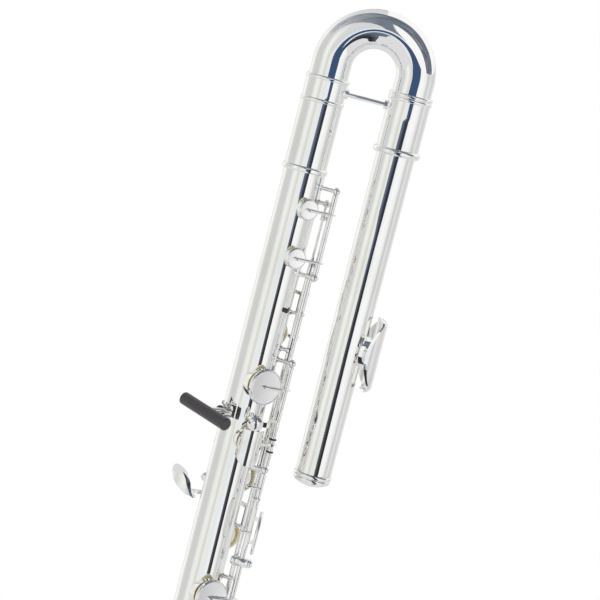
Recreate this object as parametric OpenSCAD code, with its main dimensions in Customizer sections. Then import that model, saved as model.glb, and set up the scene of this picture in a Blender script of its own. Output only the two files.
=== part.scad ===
// Bass flute in C, held upright, with a bent-back head joint, a hand crutch and open and closed keys.
// The frame: the origin is the centre of the foot end, +Z runs up the body tube, +X points from the
// body tube to the head tube, and -Y points at the player's front side, where the finger plates show.
// An angle round a tube starts at the front (-Y) and turns towards the head tube (+X).

/* [Body tube] */
// Outer diameter of the body and foot tubes
body_d = 33.2; // [32.6:0.1:34]
// Wall of the drawn tubes
tube_wall = 0.6; // [0.5:0.1:0.8]
// Height of the body tube's upper end inside the barrel
body_top_z = 812; // [808:1:816]
// Height of the body tube's lower end inside the foot joint
body_bottom_z = 230; // [229:0.5:232]

/* [Barrel] */
// Height of the barrel's lower end
barrel_bottom_z = 796; // [794:1:798]
// Height of the barrel's upper end
barrel_top_z = 853; // [851:1:855]
// Wall of the barrel sleeve
barrel_wall = 0.75; // [0.6:0.05:1]
// How far the barrel's lower ring stands out past the sleeve
barrel_ring_out = 1.3; // [0.8:0.1:1.6]
// Height of the barrel's lower ring
barrel_ring_h = 5; // [4:0.5:6]

/* [Crook] */
// Distance between the body axis and the head axis
leg_gap = 68.7; // [66:0.5:72]
// Height of the centre of the bend
bend_z = 888; // [886:1:892]
// Outer diameter of the crook tube
crook_d = 32; // [31.4:0.1:32.6]
// Depth of the crook's tenon in the barrel
crook_tenon_len = 38; // [34:1:40]
// Height of the crook's straight sleeve on the body side
crook_sleeve_h = 22; // [20:1:24]
// Outer diameter of the sleeves at the crook's two legs
crook_sleeve_d = 34.5; // [34.3:0.1:35]
// Outer diameter of the crook's rings
crook_ring_d = 36.2; // [35.8:0.1:37]
// Height of one crook ring
crook_ring_h = 3.4; // [3:0.2:4]
// Height of the head socket's open lower end
socket_bottom_z = 827; // [824:1:830]
// Height of the head socket's upper end
socket_top_z = 877.6; // [875:0.5:880]
// Outer diameter of the rim ring at the head socket's mouth
socket_ring_d = 38.6; // [37.6:0.2:39.4]
// Height of the rim ring at the head socket's mouth
socket_ring_h = 5.6; // [4.6:0.2:6.6]
// Diameter of the brace rod between the crook's legs
brace_d = 4; // [3:0.5:5]
// Height of the brace rod
brace_z = 865; // [863:1:868]

/* [Head joint] */
// Outer diameter of the head tube where it enters the socket
head_top_d = 31.6; // [31.2:0.1:31.8]
// Outer diameter of the head tube at its closed end
head_end_d = 29.8; // [29.4:0.1:30.4]
// Height of the head tube's closed lower end
head_end_z = 558; // [554:1:562]
// Length of the head tube's tenon inside the socket
head_tenon_len = 36; // [32:1:40]
// Centre height of the embouchure hole
embouchure_z = 664; // [660:1:668]
// Length of the lip plate along the tube
lip_len = 62; // [58:1:66]
// Width of the lip plate round the tube
lip_w = 36.6; // [34:0.2:38]
// Height of the riser between the tube and the lip plate's middle
riser_h = 12.4; // [11:0.2:13]
// Angle by which the lip plate and its riser are turned away from the front
lip_turn = 10; // [6:1:14]
// Radius of the roll at the lip plate's ends
lip_roll = 6; // [5:0.5:7]
// Radius to which the lip plate is bent round
lip_curve_r = 19; // [18:0.5:21]
// Thickness of the lip plate
lip_t = 1.1; // [0.9:0.1:1.4]
// Length of the embouchure hole along the tube
mouth_len = 14.5; // [13:0.5:16]
// Width of the embouchure hole round the tube
mouth_w = 11.5; // [10.5:0.5:12.5]
// Outer diameter of the crown
crown_d = 31.8; // [31:0.2:32.6]
// Height of the crown's straight ring
crown_h = 7; // [6:0.5:8]
// Distance from the embouchure's centre to the stopper's face
stopper_gap = 30; // [27:1:33]
// Length of the cork stopper
cork_len = 24; // [20:1:28]
// How far the crown can draw the stopper each way
stopper_travel = 3; // [2:0.5:4]

/* [Keywork] */
// Height of a chimney's seat over the tube's outside
chimney_h = 3.2; // [2.8:0.1:3.6]
// Wall of a chimney
chimney_wall = 0.8; // [0.6:0.1:1]
// Radius of a large tone hole
big_hole_r = 12.2; // [11.4:0.1:12.4]
// Radius of the B flat tone hole, whose cup hides under the finger plate
bflat_hole_r = 9.4; // [9:0.1:9.8]
// Radius of the two trill tone holes
trill_hole_r = 6; // [5:0.2:6.4]
// Radius of the small tone hole nearest the thumb
vent_hole_r = 8; // [7:0.2:8.6]
// How far a pad reaches past its chimney
pad_lap = 1.3; // [1:0.1:1.5]
// Thickness of a pad
pad_t = 2.8; // [2.4:0.1:3.2]
// Wall of a key cup
cup_wall = 0.7; // [0.5:0.1:0.9]
// Height of the slight dome on a key cup
cup_dome = 0.9; // [0.5:0.1:1.3]
// Width of a key arm at its cup
arm_w = 2.8; // [2.4:0.1:3.4]
// Outer radius of a hinge tube
hinge_r = 2.3; // [2.1:0.1:2.4]
// Radius of a steel hinge rod
rod_r = 1.2; // [1:0.1:1.3]
// Radial running clearance between a hinge tube and its rod
run_gap = 0.05; // [0.03:0.01:0.08]
// Gap between the ends of neighbouring hinge tubes and posts
end_gap = 0.2; // [0.15:0.05:0.4]
// How far an open key stands off its chimney, as a turn in degrees
open_turn = 7.5; // [6:0.5:8]
// Gap under the pad of a key that stands closed
seat_gap = 0.15; // [0.1:0.05:0.3]
// Radius of the ball on a post
ball_r = 3.2; // [2.9:0.1:3.4]
// Radius of a post's stem
stem_r = 1.7; // [1.4:0.1:2]

/* [Hinge lines] */
// Angle of the front hinge line round the tube
front_phi = 75.8; // [74:0.2:78]
// Distance of the front hinge line from the body axis
front_r = 30.5; // [30:0.1:31]
// Angle of the trill hinge line
trill_phi = 87.6; // [86:0.2:90]
// Distance of the trill hinge line from the body axis
trill_r = 24.4; // [24:0.1:25]
// Angle of the thumb hinge line
thumb_phi = 104.3; // [103:0.2:106]
// Distance of the thumb hinge line from the body axis
thumb_r = 27.2; // [26.8:0.1:28]
// Angle of the rear hinge line
rear_phi = 201; // [199:0.5:203]
// Distance of the rear hinge line from the body axis
rear_r = 27.4; // [27:0.1:28]

/* [Tone hole places] */
// Angle of the front tone holes round the tube
front_hole_phi = 30; // [28:0.5:31]
// Angle of the two thumb-side tone holes
thumb_hole_phi = 172; // [170:0.5:174]
// Angle of the rear tone holes
rear_hole_phi = 155; // [154:0.5:156]
// Height of the D sharp trill hole
dsharp_trill_z = 768; // [766:0.5:770]
// Height of the D trill hole
d_trill_z = 727.5; // [726:0.5:729]
// Height of the C sharp hole
csharp_z = 697; // [696:0.5:699]
// Height of the C hole
c_z = 660; // [658:0.5:662]
// Height of the B hole
b_z = 620; // [619:0.5:622]
// Height of the B flat hole
bflat_z = 573; // [571:0.5:574.5]
// Height of the A hole
a_z = 537; // [536:0.5:539]
// Height of the G sharp hole
gsharp_z = 487; // [485:0.5:488]
// Height of the G hole
g_z = 440; // [439:0.5:442]
// Height of the F sharp hole
fsharp_z = 387; // [386:0.5:389]
// Height of the F hole
f_z = 331; // [330:0.5:333]
// Height of the E hole
e_z = 272; // [271:0.5:274]

/* [Foot joint] */
// Height of the foot socket's upper rim
foot_socket_top_z = 250; // [249:0.5:252]
// Height of the foot tube's upper end, where the body tube stops
foot_tube_top_z = 229; // [228:0.5:229]
// Wall of the foot socket
foot_socket_wall = 1; // [0.8:0.1:1.2]
// Height of the E flat hole
eflat_z = 207; // [206:0.5:209]
// Height of the low C sharp key's hole
low_csharp_z = 144; // [142:0.5:146]
// Height of the low C key's hole
low_c_z = 74; // [72:0.5:76]
// Radius of the strengthened bore at the foot end
foot_bore_r = 15.8; // [15.7:0.05:15.9]
// Length of the strengthened bore at the foot end
foot_bore_len = 14; // [12:1:18]

/* [Hand crutch] */
// Height of the crutch's saddle
crutch_z = 590; // [589:1:593]
// Angle of the crutch's saddle round the tube
crutch_phi = -44; // [-48:1:-40]
// Radius of the crutch post
crutch_post_r = 4; // [3.5:0.1:4.5]
// Distance of the grip's centre line from the body axis
crutch_reach = 42; // [40:1:46]
// Length of the grip
grip_len = 56; // [52:1:60]
// Radius of the grip
grip_r = 5.3; // [5:0.1:6]

/* [Hidden] */
$fn = 96;

silver = [0.86, 0.87, 0.88];
steel = [0.62, 0.64, 0.67];
gold_skin = [0.87, 0.74, 0.42];
cork_brown = [0.72, 0.55, 0.36];
grip_black = [0.07, 0.07, 0.08];

body_r = body_d / 2;
body_bore_r = body_r - tube_wall;
seat_r = body_r + chimney_h;
cut = 1;
bead_fn = 64;

// Where a hinge line stands: its X and Y
function line_xy(phi, r) = [r * sin(phi), -r * cos(phi)];
front_line = line_xy(front_phi, front_r);
trill_line = line_xy(trill_phi, trill_r);
thumb_line = line_xy(thumb_phi, thumb_r);
rear_line = line_xy(rear_phi, rear_r);

// Sizes of a cup that follow from its tone hole
function rim_r(hole_r) = hole_r + chimney_wall;
function pad_r(hole_r) = rim_r(hole_r) + pad_lap;
function cup_r(hole_r) = pad_r(hole_r) + cup_wall;

// Puts a shape on the tube's side: local Z points out, local Y up the tube, local X round to the right
module on_side(phi, z) {
  translate([0, 0, z])
    rotate([0, 0, phi])
      rotate([90, 0, 0])
        children();
}

// Turns a shape about a hinge line
module turned(line, angle) {
  translate([line[0], line[1], 0])
    rotate([0, 0, angle])
      translate([-line[0], -line[1], 0])
        children();
}

module at_line(line, z) {
  translate([line[0], line[1], z])
    children();
}

// Straight tube along Z, from z0 to z1
module pipe(z0, z1, outer, inner) {
  translate([0, 0, z0])
    difference() {
      cylinder(r = outer, h = z1 - z0);
      translate([0, 0, -cut])
        cylinder(r = inner, h = z1 - z0 + 2 * cut);
    }
}

// Rounded ring round a tube: a half-round bead between z0 and z1
module bead(z0, z1, outer, inner) {
  half = (z1 - z0) / 2;
  rounding = min(half, outer - inner) * 0.9;
  translate([0, 0, z0])
    rotate_extrude($fn = bead_fn)
      difference() {
        union() {
          translate([inner, 0])
            square([outer - inner - rounding, z1 - z0]);
          translate([inner, rounding])
            square([outer - inner, z1 - z0 - 2 * rounding]);
          translate([outer - rounding, rounding])
            circle(r = rounding, $fn = 24);
          translate([outer - rounding, z1 - z0 - rounding])
            circle(r = rounding, $fn = 24);
        }
        translate([inner - rounding, -cut])
          square([rounding, z1 - z0 + 2 * cut]);
      }
}

// Chimney's outside, from inside the tube's wall out to the seat
module chimney_outside(phi, z, hole_r) {
  on_side(phi, z)
    cylinder(r = rim_r(hole_r), h = seat_r);
}

module chimney_hole(phi, z, hole_r) {
  on_side(phi, z)
    cylinder(r = hole_r, h = seat_r + cut);
}

BODY_HOLES = [
  [front_hole_phi, dsharp_trill_z, trill_hole_r],
  [front_hole_phi, d_trill_z, trill_hole_r],
  [thumb_hole_phi, csharp_z, vent_hole_r],
  [thumb_hole_phi, c_z, big_hole_r],
  [front_hole_phi, b_z, big_hole_r],
  [front_hole_phi, bflat_z, bflat_hole_r],
  [rear_hole_phi, a_z, big_hole_r],
  [rear_hole_phi, gsharp_z, big_hole_r],
  [front_hole_phi, g_z, big_hole_r],
  [front_hole_phi, fsharp_z, big_hole_r],
  [front_hole_phi, f_z, big_hole_r],
  [front_hole_phi, e_z, big_hole_r]
];
FOOT_HOLES = [
  [front_hole_phi, eflat_z, big_hole_r],
  [front_hole_phi, low_csharp_z, big_hole_r],
  [front_hole_phi, low_c_z, big_hole_r]
];

module body_tube() {
  color(silver)
    difference() {
      union() {
        translate([0, 0, body_bottom_z])
          cylinder(r = body_r, h = body_top_z - body_bottom_z);
        for (hole = BODY_HOLES)
          chimney_outside(hole[0], hole[1], hole[2]);
      }
      translate([0, 0, body_bottom_z - cut])
        cylinder(r = body_bore_r, h = body_top_z - body_bottom_z + 2 * cut);
      for (hole = BODY_HOLES)
        chimney_hole(hole[0], hole[1], hole[2]);
    }
}

barrel_r = body_r + barrel_wall;

module barrel_sleeve() {
  color(silver) {
    pipe(barrel_bottom_z, barrel_top_z, barrel_r, body_r);
    bead(barrel_bottom_z, barrel_bottom_z + barrel_ring_h, barrel_r + barrel_ring_out, body_r);
  }
}

// Crook

crook_r = crook_d / 2;
bend_r = leg_gap / 2;
crook_bore_r = crook_r - tube_wall;
tenon_r = body_r - run_gap;
sleeve_r = crook_sleeve_d / 2;
head_tenon_r = head_top_d / 2;
socket_bore_r = head_tenon_r + run_gap;
step_h = 1.2;

module leg(x, z0, z1, r) {
  translate([x, 0, z0])
    cylinder(r = r, h = z1 - z0);
}

// The bend of the crook's tube, which runs on into the straight legs below
module crook_tube() {
  color(silver)
    translate([bend_r, 0, bend_z])
      rotate([90, 0, 0])
        rotate_extrude(angle = 180)
          translate([bend_r, 0])
            difference() {
              circle(r = crook_r);
              circle(r = crook_bore_r);
            }
}

// Left leg with the tenon that plugs into the barrel
module crook_tenon() {
  color(silver) {
    pipe(barrel_top_z, bend_z, crook_r, crook_bore_r);
    pipe(barrel_top_z - crook_tenon_len, barrel_top_z + step_h, tenon_r, crook_bore_r);
  }
}

// Right leg, seated in the head socket's sleeve
module crook_head_leg() {
  color(silver)
    translate([leg_gap, 0, 0])
      pipe(socket_top_z - step_h, bend_z, crook_r, crook_bore_r);
}

module crook_body_sleeve() {
  low = barrel_top_z + end_gap;
  color(silver) {
    difference() {
      pipe(low, low + crook_sleeve_h, sleeve_r, crook_r);
      pipe(barrel_top_z - cut, barrel_top_z + step_h, tenon_r, crook_r - cut);
    }
    difference() {
      bead(low, low + crook_ring_h, crook_ring_d / 2, crook_r);
      pipe(barrel_top_z - cut, barrel_top_z + step_h, tenon_r, crook_r - cut);
    }
    bead(low + crook_sleeve_h - crook_ring_h, low + crook_sleeve_h, crook_ring_d / 2, crook_r);
  }
}

module head_socket_sleeve() {
  inner_top = socket_top_z - step_h;
  color(silver)
    translate([leg_gap, 0, 0]) {
      pipe(socket_bottom_z, inner_top, sleeve_r, socket_bore_r);
      pipe(inner_top, socket_top_z, sleeve_r, crook_r);
      bead(socket_bottom_z, socket_bottom_z + socket_ring_h, socket_ring_d / 2, socket_bore_r);
      bead(socket_top_z - crook_ring_h, socket_top_z, crook_ring_d / 2, crook_r);
      bead(socket_top_z - 2 * crook_ring_h, socket_top_z - crook_ring_h, crook_ring_d / 2,
        sleeve_r - barrel_wall);
    }
}

module crook_brace() {
  flange_r = brace_d;
  flange_t = 2.2;
  color(silver)
    difference() {
      union() {
        translate([0, 0, brace_z])
          rotate([0, 90, 0])
            cylinder(r = brace_d / 2, h = leg_gap);
        translate([0, 0, brace_z])
          rotate([0, 90, 0])
            cylinder(r = flange_r, h = sleeve_r + flange_t);
        translate([leg_gap - sleeve_r - flange_t, 0, brace_z])
          rotate([0, 90, 0])
            cylinder(r = flange_r, h = sleeve_r + flange_t);
      }
      leg(0, brace_z - 3 * brace_d, brace_z + 3 * brace_d, sleeve_r);
      leg(leg_gap, brace_z - 3 * brace_d, brace_z + 3 * brace_d, sleeve_r);
    }
}

// Head joint: on the head axis, with the lip plate on the far side from the body

head_wall = tube_wall;
head_end_r = head_end_d / 2;

// Radius of the tapered head tube's outside at a height
function head_r_at(z) = head_end_r
  + (head_tenon_r - head_end_r) * (min(z, socket_bottom_z) - head_end_z) / (socket_bottom_z - head_end_z);

module head_cone(inset, z0, z1) {
  translate([0, 0, z0])
    cylinder(r1 = head_r_at(z0) - inset, r2 = head_r_at(z1) - inset, h = z1 - z0);
}

module head_side(z) {
  on_side(90 + lip_turn, z)
    children();
}

mouth_seat = head_r_at(embouchure_z) + riser_h;

// The embouchure hole runs through the lip plate, the riser and the tube's wall
module mouth_hole() {
  head_side(embouchure_z)
    linear_extrude(height = mouth_seat + 2 * lip_t)
      mouth_outline(0);
}

// Rounded oblong outline of the embouchure hole
module mouth_outline(grow) {
  end_r = mouth_w / 2 + grow;
  shift = (mouth_len - mouth_w) / 2;
  translate([0, shift])
    circle(r = end_r);
  translate([0, -shift])
    circle(r = end_r);
  square([2 * end_r, 2 * shift], center = true);
}

module head_tube() {
  color(silver)
    translate([leg_gap, 0, 0])
      difference() {
        union() {
          head_cone(0, head_end_z, socket_bottom_z);
          translate([0, 0, socket_bottom_z - cut])
            cylinder(r = head_tenon_r, h = head_tenon_len + cut);
        }
        head_cone(head_wall, head_end_z - cut, socket_bottom_z + cut);
        translate([0, 0, socket_bottom_z])
          cylinder(r = head_tenon_r - head_wall, h = head_tenon_len + cut);
        mouth_hole();
      }
}

riser_wall = 6.3;
lip_axis_x = mouth_seat - lip_curve_r;

module lip_riser() {
  color(silver)
    translate([leg_gap, 0, 0])
      difference() {
        intersection() {
          head_side(embouchure_z)
            linear_extrude(height = mouth_seat + lip_t)
              mouth_outline(riser_wall);
          rotate([0, 0, lip_turn])
            translate([lip_axis_x, 0, embouchure_z - lip_len / 2])
              cylinder(r = lip_curve_r, h = lip_len);
        }
        head_cone(0, embouchure_z - lip_len, embouchure_z + lip_len);
        mouth_hole();
      }
}

// The plate is an oval patch of a wide tube whose two ends roll in towards the head tube
lip_out_r = lip_curve_r + lip_t;
lip_straight = lip_len / 2 - lip_roll;

module lip_plate() {
  color(silver)
    translate([leg_gap, 0, 0])
      difference() {
        rotate([0, 0, lip_turn])
          translate([lip_axis_x, 0, 0])
            intersection() {
              translate([0, 0, embouchure_z])
                rotate_extrude()
                  lip_profile();
              on_side(90, embouchure_z)
                linear_extrude(height = 2 * lip_curve_r)
                  lip_outline();
            }
        mouth_hole();
      }
}

// Half section of the plate's tube: straight in the middle, with a quarter-round roll at each end
module lip_profile() {
  steps = 8;
  turn = 80;
  polygon(concat(
    [for (i = [0 : steps])
      let (a = turn * i / steps)
        [lip_out_r - lip_roll * (1 - cos(a)), lip_straight + lip_roll * sin(a)]],
    [for (i = [steps : -1 : 0])
      let (a = turn * i / steps)
        [lip_out_r - lip_roll + (lip_roll - lip_t) * cos(a), lip_straight + (lip_roll - lip_t) * sin(a)]],
    [for (i = [0 : steps])
      let (a = turn * i / steps)
        [lip_out_r - lip_roll + (lip_roll - lip_t) * cos(a), -lip_straight - (lip_roll - lip_t) * sin(a)]],
    [for (i = [steps : -1 : 0])
      let (a = turn * i / steps)
        [lip_out_r - lip_roll * (1 - cos(a)), -lip_straight - lip_roll * sin(a)]]
  ));
}

// Oval outline of the lip plate, fuller than an ellipse
module lip_outline() {
  steps = 48;
  fullness = 0.8;
  polygon([for (i = [0 : steps - 1])
    let (a = 360 * i / steps)
      [
        lip_w / 2 * sign(cos(a)) * pow(abs(cos(a)), fullness),
        (lip_len / 2 + cut) * sign(sin(a)) * pow(abs(sin(a)), fullness)
      ]]);
}

cork_top_z = embouchure_z - stopper_gap;
cork_bottom_z = cork_top_z - cork_len;
cork_r = head_r_at(cork_bottom_z - stopper_travel) - head_wall - 0.3;
stopper_plate_t = 1;
screw_r = 2.4;
crown_bore_r = screw_r + 0.1;
crown_seat_z = head_end_z - end_gap;

module stopper_cork() {
  color(cork_brown)
    translate([leg_gap, 0, 0])
      pipe(cork_bottom_z + stopper_plate_t, cork_top_z - stopper_plate_t, cork_r, screw_r);
}

module stopper_screw() {
  color(silver)
    translate([leg_gap, 0, 0]) {
      translate([0, 0, cork_top_z - stopper_plate_t])
        cylinder(r = cork_r, h = stopper_plate_t);
      translate([0, 0, cork_bottom_z])
        cylinder(r = cork_r, h = stopper_plate_t);
      translate([0, 0, crown_seat_z - crown_h / 2])
        cylinder(r = screw_r, h = cork_top_z - crown_seat_z + crown_h / 2 - cut);
    }
}

// The crown screws on the stopper's screw, sits against the tube's end and has a domed face below
module crown() {
  dome_r = 27;
  rim = crown_d / 2;
  drop = dome_r - sqrt(dome_r * dome_r - rim * rim);
  plug_h = 6;
  color(silver)
    translate([leg_gap, 0, 0])
      difference() {
        union() {
          bead(crown_seat_z - crown_h * 0.55, crown_seat_z, rim, 0);
          bead(crown_seat_z - crown_h, crown_seat_z - crown_h * 0.5, rim - 0.5, 0);
          translate([0, 0, crown_seat_z])
            cylinder(r = head_end_r - head_wall - 0.15, h = plug_h);
          intersection() {
            translate([0, 0, crown_seat_z - crown_h * 0.9 - drop + dome_r])
              sphere(r = dome_r);
            translate([0, 0, crown_seat_z - crown_h * 0.9 - drop - cut])
              cylinder(r = rim - 1.2, h = drop + crown_h * 0.5);
          }
        }
        translate([0, 0, crown_seat_z - crown_h / 2 - stopper_travel - 0.3])
          cylinder(r = crown_bore_r, h = crown_h + plug_h + stopper_travel + cut);
      }
}

// Posts: a stem from the tube's surface to the hinge line, with a drilled ball

// A post on the body at a height; passage_r is the hole's radius
module post(phi, r, z, passage_r) {
  difference() {
    union() {
      on_side(phi, z)
        cylinder(r = stem_r, h = r);
      on_side(phi, z)
        cylinder(r = stem_r + 0.9, h = body_r + strap_t + 1);
      translate([r * sin(phi), -r * cos(phi), z])
        sphere(r = ball_r, $fn = 40);
    }
    translate([0, 0, z - 2 * ball_r])
      cylinder(r = body_r + strap_t, h = 4 * ball_r);
    at_line(line_xy(phi, r), z - 2 * ball_r)
      cylinder(r = passage_r, h = 4 * ball_r);
  }
}

strap_t = 0.9;
rod_hole_r = rod_r + run_gap;
axle_r = rod_r - 0.1;
axle_hole_r = axle_r + run_gap;
sleeve_tube_r = hinge_r - 0.2;
sleeve_hole_r = sleeve_tube_r + run_gap;

// Heights of the posts along each hinge line, measured from the holes they serve
front_post_zs = [
  dsharp_trill_z + 19,
  d_trill_z - 13,
  b_z + 22,
  bflat_z - 22,
  g_z - 12,
  f_z - 17,
  e_z - 14
];
trill_top_z = dsharp_trill_z + 7;
trill_low_drop = 42;
trill_low_z = f_z - trill_low_drop;
trill_axle_post_zs = [trill_top_z, trill_low_z];
trill_sleeve_post_zs = [c_z - 9, a_z + 12, g_z + 15];
thumb_post_zs = [csharp_z + 17, c_z + 21.5, gsharp_z + 11];
rear_post_zs = [bflat_z + 9, a_z + 16, a_z - 16, gsharp_z + 16.5, gsharp_z - 19];

module strap(phi, z0, z1, half_angle) {
  rotate([0, 0, phi - half_angle - 90])
    rotate_extrude(angle = 2 * half_angle)
      translate([body_r, z0])
        square([strap_t, z1 - z0]);
}

// The long rib straps under the posts, cut clear of the chimneys
module rib_straps() {
  color(silver)
    difference() {
      union() {
        strap((front_phi + trill_phi) / 2, e_z - 22, dsharp_trill_z + 27, 15);
        strap(thumb_phi + 2, gsharp_z + 5, csharp_z + 22, 5);
        strap(rear_phi, gsharp_z - 25, gsharp_z + 20, 7);
        strap(rear_phi, a_z - 20, bflat_z + 15, 7);
      }
      for (hole = BODY_HOLES)
        on_side(hole[0], hole[1])
          cylinder(r = rim_r(hole[2]) + 0.3, h = seat_r);
    }
}

module key_posts() {
  color(silver) {
    for (z = front_post_zs)
      post(front_phi, front_r, z, rod_hole_r - run_gap);
    for (z = trill_axle_post_zs)
      post(trill_phi, trill_r, z, axle_hole_r);
    for (z = trill_sleeve_post_zs)
      post(trill_phi, trill_r, z, sleeve_hole_r);
    for (z = thumb_post_zs)
      post(thumb_phi, thumb_r, z, rod_hole_r - run_gap);
    for (z = rear_post_zs)
      post(rear_phi, rear_r, z, rod_hole_r - run_gap);
  }
}

module rod(line, z0, z1) {
  at_line(line, z0)
    cylinder(r = rod_r, h = z1 - z0);
}

module hinge_rods() {
  over = ball_r;
  color(steel) {
    rod(front_line, front_post_zs[1] - over, front_post_zs[0] + over);
    rod(front_line, front_post_zs[6] - over, front_post_zs[2] + over);
    rod(thumb_line, thumb_post_zs[2] - over, thumb_post_zs[0] + over);
    rod(rear_line, rear_post_zs[2] - over, rear_post_zs[0] + over);
    rod(rear_line, rear_post_zs[4] - over, rear_post_zs[3] + over);
  }
}

// Blued needle springs: thin wires from a post towards the next key
spring_r = 0.35;

module needle(phi, r, z, length) {
  on_side(phi, z)
    translate([0, 0, r - ball_r - 1.4])
      rotate([-90, 0, 0])
        cylinder(r = spring_r, h = length, $fn = 16);
}

module needle_springs() {
  color(steel) {
    for (z = [front_post_zs[2], front_post_zs[3], front_post_zs[4], front_post_zs[5], front_post_zs[6]])
      needle(front_phi, front_r, z, 20);
    needle(front_phi, front_r, front_post_zs[1], 16);
    for (z = [thumb_post_zs[1], thumb_post_zs[2]])
      needle(thumb_phi, thumb_r, z, 16);
    for (z = [rear_post_zs[1], rear_post_zs[2], rear_post_zs[4]])
      needle(rear_phi, rear_r, z, 14);
  }
}

// Keys

cup_top_r = seat_r + seat_gap + pad_t + cup_wall / 2;

// Key cup: a thin lidded ring with a low dome, over a pad that rests lift above the seat
module cup(hole_r, lift) {
  top = seat_r + lift + pad_t;
  r = cup_r(hole_r);
  steps = 10;
  rotate_extrude()
    polygon(concat(
      [[0, top], [pad_r(hole_r), top], [pad_r(hole_r), top - pad_t / 2], [r, top - pad_t / 2], [r, top]],
      [for (i = [0 : steps])
        [(r - 0.4) * cos(90 * i / steps), top + cup_wall * 0.5 + cup_dome * sin(90 * i / steps)]]
    ));
}

module pad_disc(hole_r, lift) {
  translate([0, 0, seat_r + lift])
    cylinder(r = pad_r(hole_r), h = pad_t);
}

// Arm from the cup's middle to the hinge line: a narrow bar whose point runs past the hinge tube
arm_point = 2.2;

module arm(hole_r, lift, line_phi, line_r, phi) {
  hx = line_r * sin(line_phi - phi);
  hz = line_r * cos(line_phi - phi);
  side = sign(hx);
  top = seat_r + lift + pad_t + cup_wall * 0.5 + cup_dome * 0.6;
  rim = cup_r(hole_r) + 0.4;
  arm_t = 2;
  intersection() {
    rotate([90, 0, 0])
      translate([0, 0, -arm_w])
        linear_extrude(height = 2 * arm_w)
          polygon([
            [-side * rim * 0.3, top],
            [-side * rim * 0.3, top + arm_t * 0.6],
            [0, top + arm_t],
            [side * rim * 0.9, top + arm_t],
            [hx, max(hz + hinge_r, top + arm_t * 0.4)],
            [hx + side * (hinge_r + arm_point), hz + hinge_r * 0.6],
            [hx + side * hinge_r * 0.6, hz - hinge_r * 0.5],
            [hx - side * hinge_r * 0.8, hz],
            [side * rim, top - cup_wall]
          ]);
    linear_extrude(height = 2 * front_r)
      polygon([
        [-side * rim * 0.3, -arm_w * 0.25],
        [0, -arm_w / 2],
        [side * rim * 0.6, -arm_w * 0.42],
        [hx, -arm_w * 0.36],
        [hx + side * (hinge_r + arm_point), -arm_w * 0.1],
        [hx + side * (hinge_r + arm_point), arm_w * 0.1],
        [hx, arm_w * 0.36],
        [side * rim * 0.6, arm_w * 0.42],
        [0, arm_w / 2],
        [-side * rim * 0.3, arm_w * 0.25]
      ]);
  }
}

// A whole key: cup, arm and hinge tube from z0 to z1 with its bore; extras are added before boring
module key(phi, z, hole_r, line_phi, line_r, z0, z1, lift, outer, bore) {
  line = line_xy(line_phi, line_r);
  difference() {
    union() {
      on_side(phi, z)
        difference() {
          union() {
            cup(hole_r, lift);
            arm(hole_r, lift, line_phi, line_r, phi);
          }
          pad_disc(hole_r, lift);
        }
      at_line(line, z0)
        cylinder(r = outer, h = z1 - z0);
      children();
    }
    at_line(line, z0 - 2 * ball_r)
      cylinder(r = bore, h = z1 - z0 + 4 * ball_r);
  }
}

// Front line: hinge tube spans from top to bottom
fz = front_post_zs;
after = ball_r * 0.94 + end_gap;
trill_split_z = (dsharp_trill_z + d_trill_z) / 2;
b_top = fz[2] - after;
b_low = b_z - 15;
index_top = b_low - end_gap;
index_low = bflat_z + 9;
bflat_top = index_low - end_gap;
bflat_low = fz[3] + after;
g_top = fz[3] - after;
g_low = fz[4] + after;
fsharp_top = fz[4] - after;
fsharp_low = fsharp_z - 16;
f_top = fsharp_low - end_gap;
f_low = fz[5] + after;
e_top = fz[5] - after;
e_low = fz[6] + after;

module dsharp_trill_key() {
  color(silver)
    key(front_hole_phi, dsharp_trill_z, trill_hole_r, front_phi, front_r,
      trill_split_z + end_gap / 2, fz[0] - after, seat_gap, hinge_r, rod_hole_r)
      trill_tail(trill_tip_z);
}

module dsharp_trill_pad() {
  color(gold_skin)
    on_side(front_hole_phi, dsharp_trill_z)
      pad_disc(trill_hole_r, seat_gap);
}

trill_tip_z = dsharp_trill_z - 6;
d_trill_tip_z = d_trill_z - 5;
tail_w = 3;
line_step = trill_line - front_line;
step_len = norm(line_step);
step_angle = atan2(line_step[1], line_step[0]);
tail_t = 1.4;
finger_gap = 0.45;

// Tail of a trill key: a short tab from the front line towards the trill line
module trill_tail(z) {
  at_line(front_line, z)
    rotate([0, 0, step_angle])
      translate([0, -hinge_r, 0])
        cube([step_len - sleeve_tube_r - 0.5, tail_t, tail_w]);
}

// Finger of a trill lever, that stands behind the key's tail and pushes it
module trill_finger(z) {
  reach = step_len * 0.62;
  at_line(trill_line, z)
    rotate([0, 0, step_angle + 180])
      translate([0, hinge_r - 2 * tail_t - finger_gap, 0])
        cube([reach, tail_t, tail_w]);
}

module d_trill_key() {
  color(silver)
    key(front_hole_phi, d_trill_z, trill_hole_r, front_phi, front_r,
      fz[1] + after, trill_split_z - end_gap / 2, seat_gap, hinge_r, rod_hole_r)
      trill_tail(d_trill_tip_z);
}

module d_trill_pad() {
  color(gold_skin)
    on_side(front_hole_phi, d_trill_z)
      pad_disc(trill_hole_r, seat_gap);
}

// Right-hand touch of a trill lever: an arm inside the front line, with an oval plate over the tube
trill_touch_drop = 30;
touch_tube_h = 8;
touch_arm_w = 3.4;
touch_arm_t = 1.8;
touch_plate_r = 6.5;
// Where the trill arm bends round inside the front line, and where its plate stands: X and Y
touch_bend_near = [21.4, -9];
touch_bend_far = [17.6, -18];
touch_plate_at = [12, -25.5];

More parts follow.
